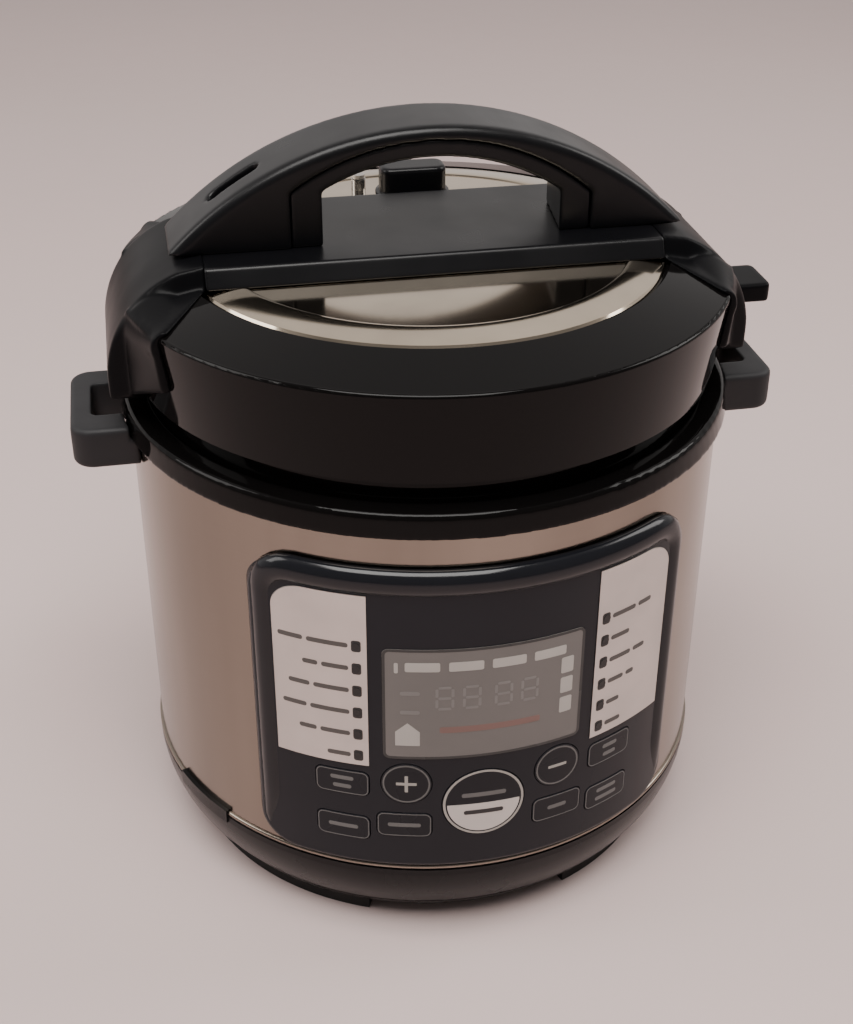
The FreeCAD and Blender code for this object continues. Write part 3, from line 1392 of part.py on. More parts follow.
# The notch in the lid that takes an arm's strap and shoulders, open towards the outside
def arm_notch(side, gap):
    half = SHOULDER_HALF_WIDTH + gap
    low = (BRIDGE_HALF_LENGTH - gap, -half, LID_STEEL_TOP - gap)
    return to_side(block(low, (ARM_OUTER + ARM_REACH, half, BRIDGE_TOP)).cut(lid_room(0)), side)


def arm(side):
    half_widths = (ARM_HALF_WIDTH, SHOULDER_HALF_WIDTH, TIP_HALF_WIDTH)
    makers = (strap_outline, shoulder_outline, tip_outline)
    right_hand = [make(y) for make, y in zip(makers, half_widths)]
    left_hand = [make(-y) for make, y in zip(makers, half_widths)]
    body = Part.makeLoft(left_hand[::-1] + right_hand, True, True)
    if side > 0:
        body = union([body, lid_fin()])
    outside = lid_envelope(FIT_GAP).cut(arm_notch(1, 0))
    return to_side(body.cut([lid_room(FIT_GAP), outside]), side)


def lid_fin():
    low = LID_STEEL_TOP + FIN_RISE
    flat = rounded_rectangle(in_xy, FIN_END, -FIN_WIDTH / 2, FIN_WIDTH / 2, FIN_CORNER)
    fin = flat.translated(FreeCAD.Vector(0, 0, low)).extrude(FreeCAD.Vector(0, 0, FIN_THICK))
    return fin.common(block((LID_RADIUS, -FIN_WIDTH, low), (FIN_END, FIN_WIDTH, low + FIN_THICK)))


# Valves
def vent_pipe():
    x, y = VALVE_PLACE
    low = LID_STEEL_LOW - VENT_TAIL
    high = PLATE_TOP + VENT_RISE
    seat = LID_STEEL_TOP + LID_LIP_THICK
    collar = ring(VENT_BORE, VENT_RADIUS + VENT_PLATE_GAP, LID_STEEL_TOP, seat, x, y)
    return union([ring(VENT_BORE, VENT_RADIUS, low, high, x, y), collar])


def anti_block_cap():
    x, y = VALVE_PLACE
    low = LID_STEEL_LOW - CAP_HEIGHT
    cap = disc(CAP_RADIUS, low, LID_STEEL_LOW, x, y).cut(
        disc(CAP_RADIUS - CAP_WALL, low + CAP_WALL, LID_STEEL_LOW, x, y)
    )
    holes = []
    for a in spaced_angles(CAP_HOLE_COUNT):
        dx, dy = at_angle(CAP_HOLE_CIRCLE, a)
        holes.append(disc(CAP_HOLE_RADIUS, low, low + CAP_WALL, x + dx, y + dy))
    return cap.cut(holes)


def valve_knob():
    x, y = VALVE_PLACE
    low = PLATE_TOP + KNOB_LIFT
    seat = low + KNOB_FLANGE_THICK
    high = seat + KNOB_HEIGHT
    bar = rounded_rectangle(in_xy, KNOB_LENGTH / 2, -KNOB_WIDTH / 2, KNOB_WIDTH / 2, KNOB_CORNER)
    bar = bar.translated(FreeCAD.Vector(x, y, seat)).extrude(FreeCAD.Vector(0, 0, KNOB_HEIGHT))
    top = [e for e in bar.Edges if e.BoundBox.ZMin > high - FIT_GAP]
    bar = bar.makeFillet(KNOB_EDGE, top)
    knob = union([disc(KNOB_FLANGE_RADIUS, low, seat, x, y), bar])
    return knob.cut(disc(VENT_RADIUS + RUN_GAP, 0, PLATE_TOP + VENT_RISE + RUN_GAP, x, y))


def float_guide_radius():
    return FLOAT_RADIUS + RUN_GAP + FLOAT_GUIDE_WALL


def float_guide_top():
    return PLATE_TOP + FLOAT_GUIDE_RISE


def float_guide():
    inner = FLOAT_RADIUS + RUN_GAP
    outer = float_guide_radius()
    tube = ring(inner, outer, LID_STEEL_LOW, float_guide_top(), *FLOAT_PLACE)
    foot = ring(inner, outer + FLOAT_GUIDE_WALL, LID_STEEL_TOP, LID_STEEL_TOP + LID_LIP_THICK, *FLOAT_PLACE)
    return union([tube, foot])


def float_foot_top():
    return LID_STEEL_LOW - RUN_GAP - FLOAT_TRAVEL - FLOAT_SEAL_THICK


def float_pin():
    head_low = float_guide_top() + POT_RIM_GAP
    foot_top = float_foot_top()
    return union([
        disc(FLOAT_RADIUS, foot_top, head_low, *FLOAT_PLACE),
        disc(FLOAT_HEAD_RADIUS, head_low, head_low + FLOAT_HEAD_THICK, *FLOAT_PLACE),
        disc(FLOAT_FOOT_RADIUS, foot_top - FLOAT_FOOT_THICK, foot_top, *FLOAT_PLACE),
    ])


def float_seal():
    low = float_foot_top()
    return ring(FLOAT_RADIUS + FIT_GAP, FLOAT_FOOT_RADIUS, low, low + FLOAT_SEAL_THICK, *FLOAT_PLACE)


PIECES = {
    "base_tray": base_tray(),
    "feet": feet(),
    "body_screws": body_screws(),
    "outer_shell": outer_shell(),
    "collar_ring": collar_ring(),
    "side_handle_left": side_handle(-1),
    "side_handle_right": side_handle(1),
    "outer_pot": outer_pot(),
    "inner_pot": inner_pot(),
    "spring_plate": spring_plate(),
    "heating_plate": heating_plate(),
    "heating_element": heating_element(),
    "sensor_bracket": sensor_bracket(),
    "sensor_cap": sensor_cap(),
    "sensor_spring": sensor_spring(),
    "pressure_switch": pressure_switch(),
    "thermal_fuse": thermal_fuse(),
    "power_board": power_board(),
    "power_board_parts": power_board_parts(),
    "ribbon_cable": ribbon_cable(),
    "inlet_housing": inlet_housing(),
    "inlet_pins": inlet_pins(),
    "mains_wires": mains_wires(),
    "panel_bezel": panel_bezel(),
    "label_plate_left": label_plate(-1),
    "label_plate_right": label_plate(1),
    "display_window": display_window(),
    "indicator_lights": indicator_lights(),
    "control_board": control_board(),
    "display_module": display_module(),
    "key_membrane": key_membrane(),
    "cup_bracket": cup_bracket(),
    "condensation_cup": condensation_cup(),
    "gasket": gasket(),
    "lid_steel": lid_steel(),
    "lid_cover": lid_cover(),
    "lid_plate": lid_plate(),
    "lid_screws": lid_screws(),
    "handle_bridge": handle_bridge(),
    "handle_grip": handle_grip(),
    "handle_liner": handle_liner(),
    "arm_left": arm(-1),
    "arm_right": arm(1),
    "vent_pipe": vent_pipe(),
    "anti_block_cap": anti_block_cap(),
    "valve_knob": valve_knob(),
    "float_guide": float_guide(),
    "float_pin": float_pin(),
    "float_seal": float_seal(),
}
PIECES.update({name: key(name) for name in KEYS})

os.makedirs("parts", exist_ok=True)
for name, shape in PIECES.items():
    shape.exportStep("parts/" + name + ".step")
    state = "valid" if all(solid.isValid() for solid in shape.Solids) else "BROKEN"
    print(name, len(shape.Solids), "solids", round(shape.Volume / CUBIC_MM_IN_CM3, 2), "cm3", state)
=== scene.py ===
# %% [markdown]
# # Dressing an electric pressure cooker
# The construction comes ready made as a frame of solids, in metres and at its real size.
# This lesson gives every solid its finish, softens the edges of the moulded pieces, and adds thin trim and
# the printed panel.
# Nothing is moved: a new piece either rides on a body of the frame or takes the place of one of its solids.

# %% Load the frame
import json
import math

import bmesh
import bpy
from mathutils import Matrix, Vector

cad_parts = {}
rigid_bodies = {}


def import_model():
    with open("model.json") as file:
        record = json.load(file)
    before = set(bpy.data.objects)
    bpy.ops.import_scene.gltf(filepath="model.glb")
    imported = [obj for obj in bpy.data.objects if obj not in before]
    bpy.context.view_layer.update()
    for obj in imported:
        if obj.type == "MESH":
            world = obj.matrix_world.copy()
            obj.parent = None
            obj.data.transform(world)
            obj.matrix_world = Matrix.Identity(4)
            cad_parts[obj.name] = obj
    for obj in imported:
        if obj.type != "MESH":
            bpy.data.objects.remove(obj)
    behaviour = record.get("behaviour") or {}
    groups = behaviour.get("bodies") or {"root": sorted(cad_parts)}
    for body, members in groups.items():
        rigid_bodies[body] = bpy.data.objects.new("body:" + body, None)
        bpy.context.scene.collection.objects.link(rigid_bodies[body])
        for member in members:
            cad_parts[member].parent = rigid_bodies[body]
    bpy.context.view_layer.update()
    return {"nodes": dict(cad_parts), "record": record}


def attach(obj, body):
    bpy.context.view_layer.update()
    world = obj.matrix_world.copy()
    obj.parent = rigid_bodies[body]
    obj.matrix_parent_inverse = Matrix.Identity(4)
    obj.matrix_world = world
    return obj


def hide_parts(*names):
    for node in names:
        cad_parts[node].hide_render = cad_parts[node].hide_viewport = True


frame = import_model()
MM = 0.001
slot_of = {row["node"]: row["material_slot"] for row in frame["record"]["subparts"]}

# %% [markdown]
# ## The camera
# The camera looks down on the cooker from the front, a little to the left.
# A camera could be aimed with a constraint, but its place and three turns say the same in plain numbers.
# The lens follows from the focal length in pixels and the height of an 853 by 1024 picture.

# %% Camera
EYE = Vector((-0.1178, -0.6061, 0.5145))
LOOK_TURN = math.radians(-11.135)
LOOK_DOWN = math.radians(31.106)
LOOK_ROLL = math.radians(0.212)
FOCAL_PIXELS = 1530.9
PICTURE_HEIGHT = 1024
SENSOR = 36.0


def aimed_camera():
    camera = bpy.data.objects.new("camera", bpy.data.cameras.new("camera"))
    bpy.context.scene.collection.objects.link(camera)
    camera.data.sensor_width = SENSOR
    camera.data.lens = SENSOR * FOCAL_PIXELS / PICTURE_HEIGHT
    turn = Matrix.Rotation(LOOK_TURN, 4, "Z")
    tilt = Matrix.Rotation(math.pi / 2 - LOOK_DOWN, 4, "X")
    roll = Matrix.Rotation(LOOK_ROLL, 4, "Z")
    camera.matrix_world = Matrix.Translation(EYE) @ turn @ tilt @ roll
    bpy.context.scene.camera = camera
    return camera


camera = aimed_camera()
print("lens", round(camera.data.lens, 2), "mm")

# %% [markdown]
# ## Shared surface effects
# Real surfaces share a few habits: moulded plastic has a fine grain, handled places turn shinier, and brushed
# metal has hairlines that run one way. Edges of plastics get a painted highlight, and brushed metal gets
# upright streaks of colour that are a painted reflection.
# Each habit is one node group with named inputs, so that every finish can use it with its own values.

# %% Node helpers
def add_node(tree, kind, settings=None, **inputs):
    node = tree.nodes.new(kind)
    for name, value in (settings or {}).items():
        setattr(node, name, value)
    for name, value in inputs.items():
        put(tree, node.inputs[name.replace("_", " ")], value)
    return node


def put(tree, socket, value):
    if isinstance(value, bpy.types.NodeSocket):
        tree.links.new(value, socket)
    else:
        socket.default_value = value


def math_node(tree, operation, first, second=0.0):
    node = tree.nodes.new("ShaderNodeMath")
    node.operation = operation
    put(tree, node.inputs[0], first)
    put(tree, node.inputs[1], second)
    return node.outputs[0]


def stretch(tree, value, low, high, new_low, new_high):
    node = tree.nodes.new("ShaderNodeMapRange")
    for socket, item in zip(node.inputs, (value, low, high, new_low, new_high)):
        put(tree, socket, item)
    return node.outputs[0]


def shader_group(name, inputs, outputs):
    tree = bpy.data.node_groups.new(name, "ShaderNodeTree")
    for label, default in inputs:
        socket = tree.interface.new_socket(name=label, in_out="INPUT", socket_type="NodeSocketFloat")
        socket.default_value = default
    for label in outputs:
        tree.interface.new_socket(name=label, in_out="OUTPUT", socket_type="NodeSocketFloat")
    start = tree.nodes.new("NodeGroupInput")
    end = tree.nodes.new("NodeGroupOutput")
    return tree, start.outputs, end.inputs


def object_place(tree):
    return add_node(tree, "ShaderNodeTexCoord").outputs["Object"]


def noise(tree, place, scale, detail, roughness=0.5):
    kind = "ShaderNodeTexNoise"
    return add_node(tree, kind, Vector=place, Scale=scale, Detail=detail, Roughness=roughness).outputs["Fac"]


print("node helpers ready")

# %% Moulding grain, handling, painted edge highlight and brushing with painted reflection streaks
SMEAR_RANGE = (0.34, 0.68)
BEVEL_SAMPLES = 4
# Painted reflection: the brushed metals' colour drift is stretched upright into streaks.
REFLECTION_STREAK_STRETCH = (1.0, 1.0, 0.08)


def moulding_grain_group():
    tree, given, out = shader_group("moulding_grain", [("Scale", 900.0), ("Drift", 22.0)], ["Height", "Tone"])
    place = object_place(tree)
    fine = noise(tree, place, given["Scale"], detail=2.0, roughness=0.6)
    broad = noise(tree, place, given["Drift"], detail=3.0)
    tree.links.new(fine, out["Height"])
    tree.links.new(broad, out["Tone"])
    return tree


def handling_group():
    inputs = [("Scale", 35.0), ("Smooth", 0.2), ("Dull", 0.35)]
    tree, given, out = shader_group("handling", inputs, ["Roughness"])
    smears = noise(tree, object_place(tree), given["Scale"], detail=2.0)
    value = stretch(tree, smears, *SMEAR_RANGE, given["Smooth"], given["Dull"])
    tree.links.new(value, out["Roughness"])
    return tree


def edge_light_group():
    tree, given, out = shader_group("edge_light", [("Radius", 0.0008), ("Reach", 0.12)], ["Mask"])
    # Painted highlight: the mask is 1 where the bevel normal turns away from the face, and lightens the
    # colour along edges.
    soft = add_node(tree, "ShaderNodeBevel", {"samples": BEVEL_SAMPLES}, Radius=given["Radius"])
    face = add_node(tree, "ShaderNodeNewGeometry")
    same = add_node(tree, "ShaderNodeVectorMath", {"operation": "DOT_PRODUCT"})
    tree.links.new(soft.outputs["Normal"], same.inputs[0])
    tree.links.new(face.outputs["Normal"], same.inputs[1])
    away = math_node(tree, "SUBTRACT", 1.0, same.outputs["Value"])
    tree.links.new(stretch(tree, away, 0.0, given["Reach"], 0.0, 1.0), out["Mask"])
    return tree


def brushing_group():
    inputs = [("Along", 3.0), ("Across", 1500.0), ("Drift", 26.0)]
    tree, given, out = shader_group("brushing", inputs, ["Hairline", "Drift"])
    place = object_place(tree)
    axes = add_node(tree, "ShaderNodeSeparateXYZ", Vector=place).outputs
    squeezed = add_node(tree, "ShaderNodeCombineXYZ")
    for axis, factor in (("X", "Along"), ("Y", "Along"), ("Z", "Across")):
        tree.links.new(math_node(tree, "MULTIPLY", axes[axis], given[factor]), squeezed.inputs[axis])
    lines = noise(tree, squeezed.outputs[0], 1.0, detail=4.0, roughness=0.7)
    # Painted reflection: upright streaks of colour, stretched along the height.
    upright = add_node(tree, "ShaderNodeVectorMath", {"operation": "MULTIPLY"})
    tree.links.new(place, upright.inputs[0])
    upright.inputs[1].default_value = REFLECTION_STREAK_STRETCH
    painted_reflection_streaks = noise(tree, upright.outputs[0], given["Drift"], detail=3.0)
    tree.links.new(lines, out["Hairline"])
    tree.links.new(painted_reflection_streaks, out["Drift"])
    return tree


GROUPS = {
    "grain": moulding_grain_group(),
    "handling": handling_group(),
    "edges": edge_light_group(),
    "brushing": brushing_group(),
}
print("shared effects:", ", ".join(tree.name for tree in GROUPS.values()))

# %% [markdown]
# ## Finishes
# A finish is a material named after the slot that the record gives to a solid.
# Plastics differ in how deep their grain is and how shiny they are, so one function makes them all.
# Brushed metals get hairlines and upright streaks of colour that are a painted reflection; metals that were
# stamped or cast get a soft drift of colour.

# %% Plastics
TONE_SWING = (0.86, 1.14)
# How much of the painted edge highlight goes into the colour.
EDGE_HIGHLIGHT_SHARE = 0.6
GRAIN_DEPTH = 0.0002


def new_finish(name):
    material = bpy.data.materials.new(name)
    material.use_nodes = True
    tree = material.node_tree
    tree.nodes.clear()
    shader = tree.nodes.new("ShaderNodeBsdfPrincipled")
    end = tree.nodes.new("ShaderNodeOutputMaterial")
    tree.links.new(shader.outputs[0], end.inputs["Surface"])
    return material, tree, shader


def use_group(tree, key, **inputs):
    node = tree.nodes.new("ShaderNodeGroup")
    node.node_tree = GROUPS[key]
    for name, value in inputs.items():
        put(tree, node.inputs[name], value)
    return node.outputs


def blend_colours(tree, amount, first, second):
    node = tree.nodes.new("ShaderNodeMix")
    node.data_type = "RGBA"
    put(tree, node.inputs[0], amount)
    put(tree, node.inputs[6], first)
    put(tree, node.inputs[7], second)
    return node.outputs[2]


def solid(red, green, blue):
    return (red, green, blue, 1.0)


def shade(colour, factor):
    return solid(*(min(1.0, part * factor) for part in colour[:3]))


def swing(tree, amount, colour, factors):
    darker, lighter = (shade(colour, factor) for factor in factors)
    return blend_colours(tree, amount, darker, lighter)


def handled(tree, smooth, dull):
    return use_group(tree, "handling", Smooth=smooth, Dull=dull)["Roughness"]


def bump(tree, height, strength, distance):
    return add_node(tree, "ShaderNodeBump", Strength=strength, Distance=distance, Height=height).outputs[0]


# shine sets the specular level; the edge factor sets how much brighter the painted highlight along edges is.
def plastic(name, colour, smooth, dull, grain=0.0, shine=0.3, edge_highlight_gain=1.8, grain_scale=900.0):
    material, tree, shader = new_finish(name)
    grains = use_group(tree, "grain", Scale=grain_scale)
    tone = swing(tree, grains["Tone"], colour, TONE_SWING)
    # Painted highlight: along edges the colour is blended towards a brighter copy of itself.
    faint = math_node(tree, "MULTIPLY", use_group(tree, "edges")["Mask"], EDGE_HIGHLIGHT_SHARE)
    put(tree, shader.inputs["Base Color"], blend_colours(tree, faint, tone, shade(colour, edge_highlight_gain)))
    put(tree, shader.inputs["Roughness"], handled(tree, smooth, dull))
    shader.inputs["Specular IOR Level"].default_value = shine
    if grain:
        put(tree, shader.inputs["Normal"], bump(tree, grains["Height"], grain, GRAIN_DEPTH))
    return material


# colour, roughness where it is handled and where it is dull, and what differs from the defaults
PLASTICS = {
    "lid_gloss": (solid(0.003, 0.0026, 0.0026), 0.04, 0.08, {"shine": 0.14, "edge_highlight_gain": 1.1}),
    "handle_satin": (solid(0.003, 0.003, 0.0038), 0.27, 0.34, {"shine": 0.27, "edge_highlight_gain": 1.3}),
    "arm_satin": (solid(0.003, 0.003, 0.0036), 0.3, 0.38, {"shine": 0.07, "edge_highlight_gain": 1.3}),
    "base_satin": (solid(0.006, 0.0057, 0.0062), 0.24, 0.3, {"shine": 0.2}),
    "lug_matte": (solid(0.016, 0.0155, 0.017), 0.46, 0.58, {"grain": 0.15, "grain_scale": 1400.0}),
    "panel_gloss": (solid(0.0115, 0.0122, 0.0158), 0.22, 0.26, {"shine": 0.2}),
    "key_black": (solid(0.0105, 0.0112, 0.0142), 0.24, 0.29, {"shine": 0.2}),
    "valve_black": (solid(0.004, 0.004, 0.0046), 0.22, 0.3, {"shine": 0.2}),
    "rubber_black": (solid(0.014, 0.014, 0.014), 0.6, 0.75, {"grain": 0.3}),
    "device_black": (solid(0.02, 0.02, 0.021), 0.4, 0.5, {"grain": 0.1}),
    "lamp_dark": (solid(0.022, 0.02, 0.02), 0.12, 0.2, {}),
    "wire_grey": (solid(0.18, 0.18, 0.19), 0.42, 0.52, {"grain": 0.06}),
    "board_green": (solid(0.012, 0.085, 0.03), 0.3, 0.42, {"grain": 0.05}),
    "silicone": (solid(0.62, 0.6, 0.56), 0.42, 0.52, {"grain": 0.08, "edge_highlight_gain": 1.1}),
    "window_grey": (solid(0.16, 0.15, 0.142), 0.1, 0.16, {"edge_highlight_gain": 1.1}),
}
FINISHES = {}
for name, (colour, smooth, dull, more) in PLASTICS.items():
    FINISHES[name] = plastic(name, colour, smooth, dull, **more)
print("plastics:", ", ".join(FINISHES))

# %% Metals and clear plastic
LINE_SWING = (0.9, 1.1)
REFLECTION_STREAK_SWING = (0.78, 1.22)
REFLECTION_STREAK_RANGE = (0.3, 0.7)
HAIRLINE_RANGE = (0.25, 0.75)
HAIRLINE_DEPTH = 0.00005
STAMP_SWING = (0.92, 1.08)
STAMP_DRIFT = 60.0
STAMP_DEPTH = 0.0001
CLEAR_ROUGHNESS = (0.06, 0.16)
CLEAR_SHARE = 0.85
CLEAR_IOR = 1.49


def brushed_metal(name, colour, smooth, dull, hairline=0.05, anisotropy=0.0):
    material, tree, shader = new_finish(name)
    brush = use_group(tree, "brushing")
    line_tone = swing(tree, brush["Hairline"], colour, LINE_SWING)
    # Painted reflection: upright streaks lighten and darken the metal's colour.
    painted_reflection_tone = swing(tree, stretch(tree, brush["Drift"], *REFLECTION_STREAK_RANGE, 0.0, 1.0), colour, REFLECTION_STREAK_SWING)
    put(tree, shader.inputs["Base Color"], blend_colours(tree, 0.5, line_tone, painted_reflection_tone))
    put(tree, shader.inputs["Roughness"], stretch(tree, brush["Hairline"], *HAIRLINE_RANGE, smooth, dull))
    put(tree, shader.inputs["Normal"], bump(tree, brush["Hairline"], hairline, HAIRLINE_DEPTH))
    shader.inputs["Metallic"].default_value = 1.0
    shader.inputs["Anisotropic"].default_value = anisotropy
    return material


def stamped_metal(name, colour, smooth, dull, grain=0.04):
    material, tree, shader = new_finish(name)
    grains = use_group(tree, "grain", Drift=STAMP_DRIFT)
    put(tree, shader.inputs["Base Color"], swing(tree, grains["Tone"], colour, STAMP_SWING))
    put(tree, shader.inputs["Roughness"], handled(tree, smooth, dull))
    put(tree, shader.inputs["Normal"], bump(tree, grains["Height"], grain, STAMP_DEPTH))
    shader.inputs["Metallic"].default_value = 1.0
    return material


def clear_plastic(name, colour):
    material, tree, shader = new_finish(name)
    put(tree, shader.inputs["Roughness"], handled(tree, *CLEAR_ROUGHNESS))
    shader.inputs["Base Color"].default_value = colour
    shader.inputs["Transmission Weight"].default_value = CLEAR_SHARE
    shader.inputs["IOR"].default_value = CLEAR_IOR
    return material


CHAMPAGNE = solid(0.25, 0.213, 0.179)
FINISHES.update({
    "shell_steel": brushed_metal("shell_steel", CHAMPAGNE, 0.14, 0.2, hairline=0.02, anisotropy=0.5),
    "plate_metal": brushed_metal("plate_metal", solid(0.62, 0.53, 0.42), 0.08, 0.13, hairline=0.01),
    "label_silver": stamped_metal("label_silver", solid(0.62, 0.59, 0.56), 0.38, 0.5),
    "pot_steel": brushed_metal("pot_steel", solid(0.62, 0.61, 0.6), 0.16, 0.28),
    "sheet_steel": stamped_metal("sheet_steel", solid(0.5, 0.5, 0.5), 0.28, 0.4),
    "screw_steel": stamped_metal("screw_steel", solid(0.52, 0.52, 0.53), 0.22, 0.34),
    "heater_metal": stamped_metal("heater_metal", solid(0.6, 0.6, 0.61), 0.36, 0.5, grain=0.2),
    "pin_brass": stamped_metal("pin_brass", solid(0.62, 0.45, 0.2), 0.2, 0.3),
    "cup_clear": clear_plastic("cup_clear", solid(0.85, 0.87, 0.88)),
})
for name, node in frame["nodes"].items():
    node.data.materials.clear()
    node.data.materials.append(FINISHES["label_silver" if name == "float_pin" else slot_of[name]])
print("finishes given to", len(frame["nodes"]), "solids")

# %% [markdown]
# ## Moulded edges
# The handle, its arms, the collar, the valve and the carrying lugs are moulded, so their edges are soft.
# A bevel would need clean edge loops, and these solids meet in slanted cuts.
# So a copy is remeshed evenly and smoothed until its edges melt, and it takes the place of its solid.
# The arms end in thin lips, which are thickened a little first so that the even cells can hold them.
# A row of small balls covers the lid's rounded edge where it would show through an arm, and melts in too.

# %% Moulded copies
MERGE_DISTANCE = 0.00001
ARM_SIDES = {"arm_left": -1, "arm_right": 1}
BALL_CIRCLE = 129.4
BALL_HEIGHT = 267.6
BALL_RADIUS = 1.6
BALL_START = 14.5
BALL_END = 26.8
BALL_COUNT = 18
# size of a cell, rounds of smoothing, and how much thicker the copy is made first
MOULDED = {
    "handle_grip": (0.9, 10, 0.0),
    "handle_liner": (0.8, 5, 0.0),
    "handle_bridge": (0.8, 4, 0.0),
    "arm_left": (0.62, 24, 0.5),
    "arm_right": (0.62, 24, 0.5),
    "collar_ring": (0.92, 9, 0.0),
    "valve_knob": (0.5, 6, 0.0),
    "side_handle_left": (0.7, 6, 0.0),
    "side_handle_right": (0.7, 6, 0.0),
}


def plain_mesh(piece):
    graph = bpy.context.evaluated_depsgraph_get()
    mesh = bpy.data.meshes.new_from_object(piece.evaluated_get(graph))
    piece.modifiers.clear()
    piece.data = mesh
    return mesh


def new_piece(name, mesh):
    piece = bpy.data.objects.new(name, mesh)
    bpy.context.scene.collection.objects.link(piece)
    return piece


def body_of(node_name):
    return frame["nodes"][node_name].parent.name.split(":")[1]


def merged_copy(node_name):
    mesh = frame["nodes"][node_name].data.copy()
    shape = bmesh.new()
    shape.from_mesh(mesh)
    bmesh.ops.remove_doubles(shape, verts=shape.verts, dist=MERGE_DISTANCE)
    shape.to_mesh(mesh)
    shape.free()
    return mesh


def cover_lid_corner(mesh, side):
    shape = bmesh.new()
    shape.from_mesh(mesh)
    for i in range(BALL_COUNT):
        angle = math.radians(BALL_START + (BALL_END - BALL_START) * i / (BALL_COUNT - 1))
        x, y = side * BALL_CIRCLE * math.cos(angle), BALL_CIRCLE * math.sin(angle)
        for front in (-y, y):
            place = Matrix.Translation(Vector((x, front, BALL_HEIGHT)) * MM)
            bmesh.ops.create_icosphere(shape, subdivisions=2, radius=BALL_RADIUS * MM, matrix=place)
    shape.to_mesh(mesh)
    shape.free()


def moulded(node_name, cell, rounds, swell):
    piece = new_piece(node_name + "_moulded", merged_copy(node_name))
    if node_name in ARM_SIDES:
        cover_lid_corner(piece.data, ARM_SIDES[node_name])
    if swell:
        thicken = piece.modifiers.new("thicken", "DISPLACE")
        thicken.mid_level = 0.0
        thicken.strength = swell
    even = piece.modifiers.new("even", "REMESH")
    even.mode = "VOXEL"
    even.voxel_size = cell
    even.use_smooth_shade = True
    soften = piece.modifiers.new("soften", "SMOOTH")
    soften.iterations = rounds
    mesh = plain_mesh(piece)
    mesh.materials.clear()
    mesh.materials.append(FINISHES["arm_satin" if node_name in ARM_SIDES else slot_of[node_name]])
    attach(piece, body_of(node_name))
    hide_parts(node_name)
    return piece


for node_name, (cell, rounds, swell) in MOULDED.items():
    piece = moulded(node_name, cell * MM, rounds, swell * MM)
    print(piece.name, len(piece.data.polygons), "faces")

# %% [markdown]
# ## Spun rings
# The round plate in the lid turns down towards its edge, so it catches the bright wall there.
# The shell's foot ends in a thin bead, which shows as a bright line over the base.
# A thin black sleeve covers the steel skirt below the lid's band as painted shade, so that the gap to the
# collar stays dark.
# A profile spun round the axis makes such a ring in one go, with as many steps as its shine needs.

# %% Rolled edge, foot bead and painted-shade sleeve
EDGE_FOOT = 86.6
EDGE_INNER = 88.0
EDGE_OUTER = 101.7
EDGE_SEAT = 276.1
EDGE_TOP = 276.9
EDGE_DROP = 1.85
EDGE_SKIN = 0.6
EDGE_BEND = 1.5
EDGE_SHOULDER = 0.2
EDGE_STEPS = 12
FOOT_CIRCLE = 130.0
FOOT_HEIGHT = 41.7
FOOT_THICK = 1.2
FOOT_STEPS = 14
SLEEVE_INNER = 120.45
SLEEVE_OUTER = 121.1
SLEEVE_LOW = 218.6
SLEEVE_HIGH = 229.95
RING_TURNS = 200
SHARP_ANGLE = math.radians(40)


def full_turn(count):
    return [2 * math.pi * i / count for i in range(count)]


def edge_height(radius):
    share = (radius - EDGE_INNER) / (EDGE_OUTER - EDGE_INNER)
    return EDGE_TOP - EDGE_DROP * share ** EDGE_BEND


def rolled_edge():
    radii = [EDGE_INNER + (EDGE_OUTER - EDGE_INNER) * i / EDGE_STEPS for i in range(EDGE_STEPS + 1)]
    top = [(EDGE_FOOT, EDGE_SEAT), ((EDGE_FOOT + EDGE_INNER) / 2, EDGE_TOP - EDGE_SHOULDER)]
    top += [(r, edge_height(r)) for r in radii]
    return top + [(r, z - EDGE_SKIN) for r, z in reversed(top)]


def foot_bead():
    angles = full_turn(FOOT_STEPS)
    return [(FOOT_CIRCLE + FOOT_THICK * math.cos(a), FOOT_HEIGHT + FOOT_THICK * math.sin(a)) for a in angles]


def painted_shade_sleeve():
    inside = [(SLEEVE_INNER, SLEEVE_HIGH), (SLEEVE_INNER, SLEEVE_LOW)]
    return inside + [(SLEEVE_OUTER, SLEEVE_LOW), (SLEEVE_OUTER, SLEEVE_HIGH)]


def spun_ring(name, profile, node_name):
    shape = bmesh.new()
    turns = full_turn(RING_TURNS)
    loops = []
    for r, z in profile:
        loops.append([shape.verts.new((r * math.cos(a) * MM, r * math.sin(a) * MM, z * MM)) for a in turns])
    for row, loop in enumerate(loops):
        after = loops[(row + 1) % len(loops)]
        for i in range(RING_TURNS):
            j = (i + 1) % RING_TURNS
            face = shape.faces.new((loop[i], loop[j], after[j], after[i]))
            face.smooth = True
    bmesh.ops.recalc_face_normals(shape, faces=shape.faces)
    mesh = bpy.data.meshes.new(name)
    shape.to_mesh(mesh)
    shape.free()
    mesh.set_sharp_from_angle(angle=SHARP_ANGLE)
    mesh.materials.append(FINISHES[slot_of[node_name]])
    piece = new_piece(name, mesh)
    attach(piece, body_of(node_name))
    print(piece.name, len(mesh.polygons), "faces")


spun_ring("plate_rolled_edge", rolled_edge(), "lid_plate")
spun_ring("shell_foot_bead", foot_bead(), "outer_shell")
# Painted shade: a black sleeve that keeps the gap under the lid's band dark.
spun_ring("lid_skirt_sleeve", painted_shade_sleeve(), "lid_cover")

# %% [markdown]
# ## Printing on the panel
# The panel is a slice of a cylinder, but its marks are easier to draw flat, by distance along it and height.
# Each mark is a slab as thin as paint, and one Geometry Nodes tree rolls them all on to the panel's radius.
# The words of the real panel stay off: bars stand where lines of lettering would be.

# %% Flat marks
PAINT = 0.06
COLUMN_STEP = 1.5
BAR_ROUND = 0.9
END_PARTS = (0.02, 0.15, 0.4, 0.7)
BEND_STEPS = 5
CIRCLE_STEPS = 48


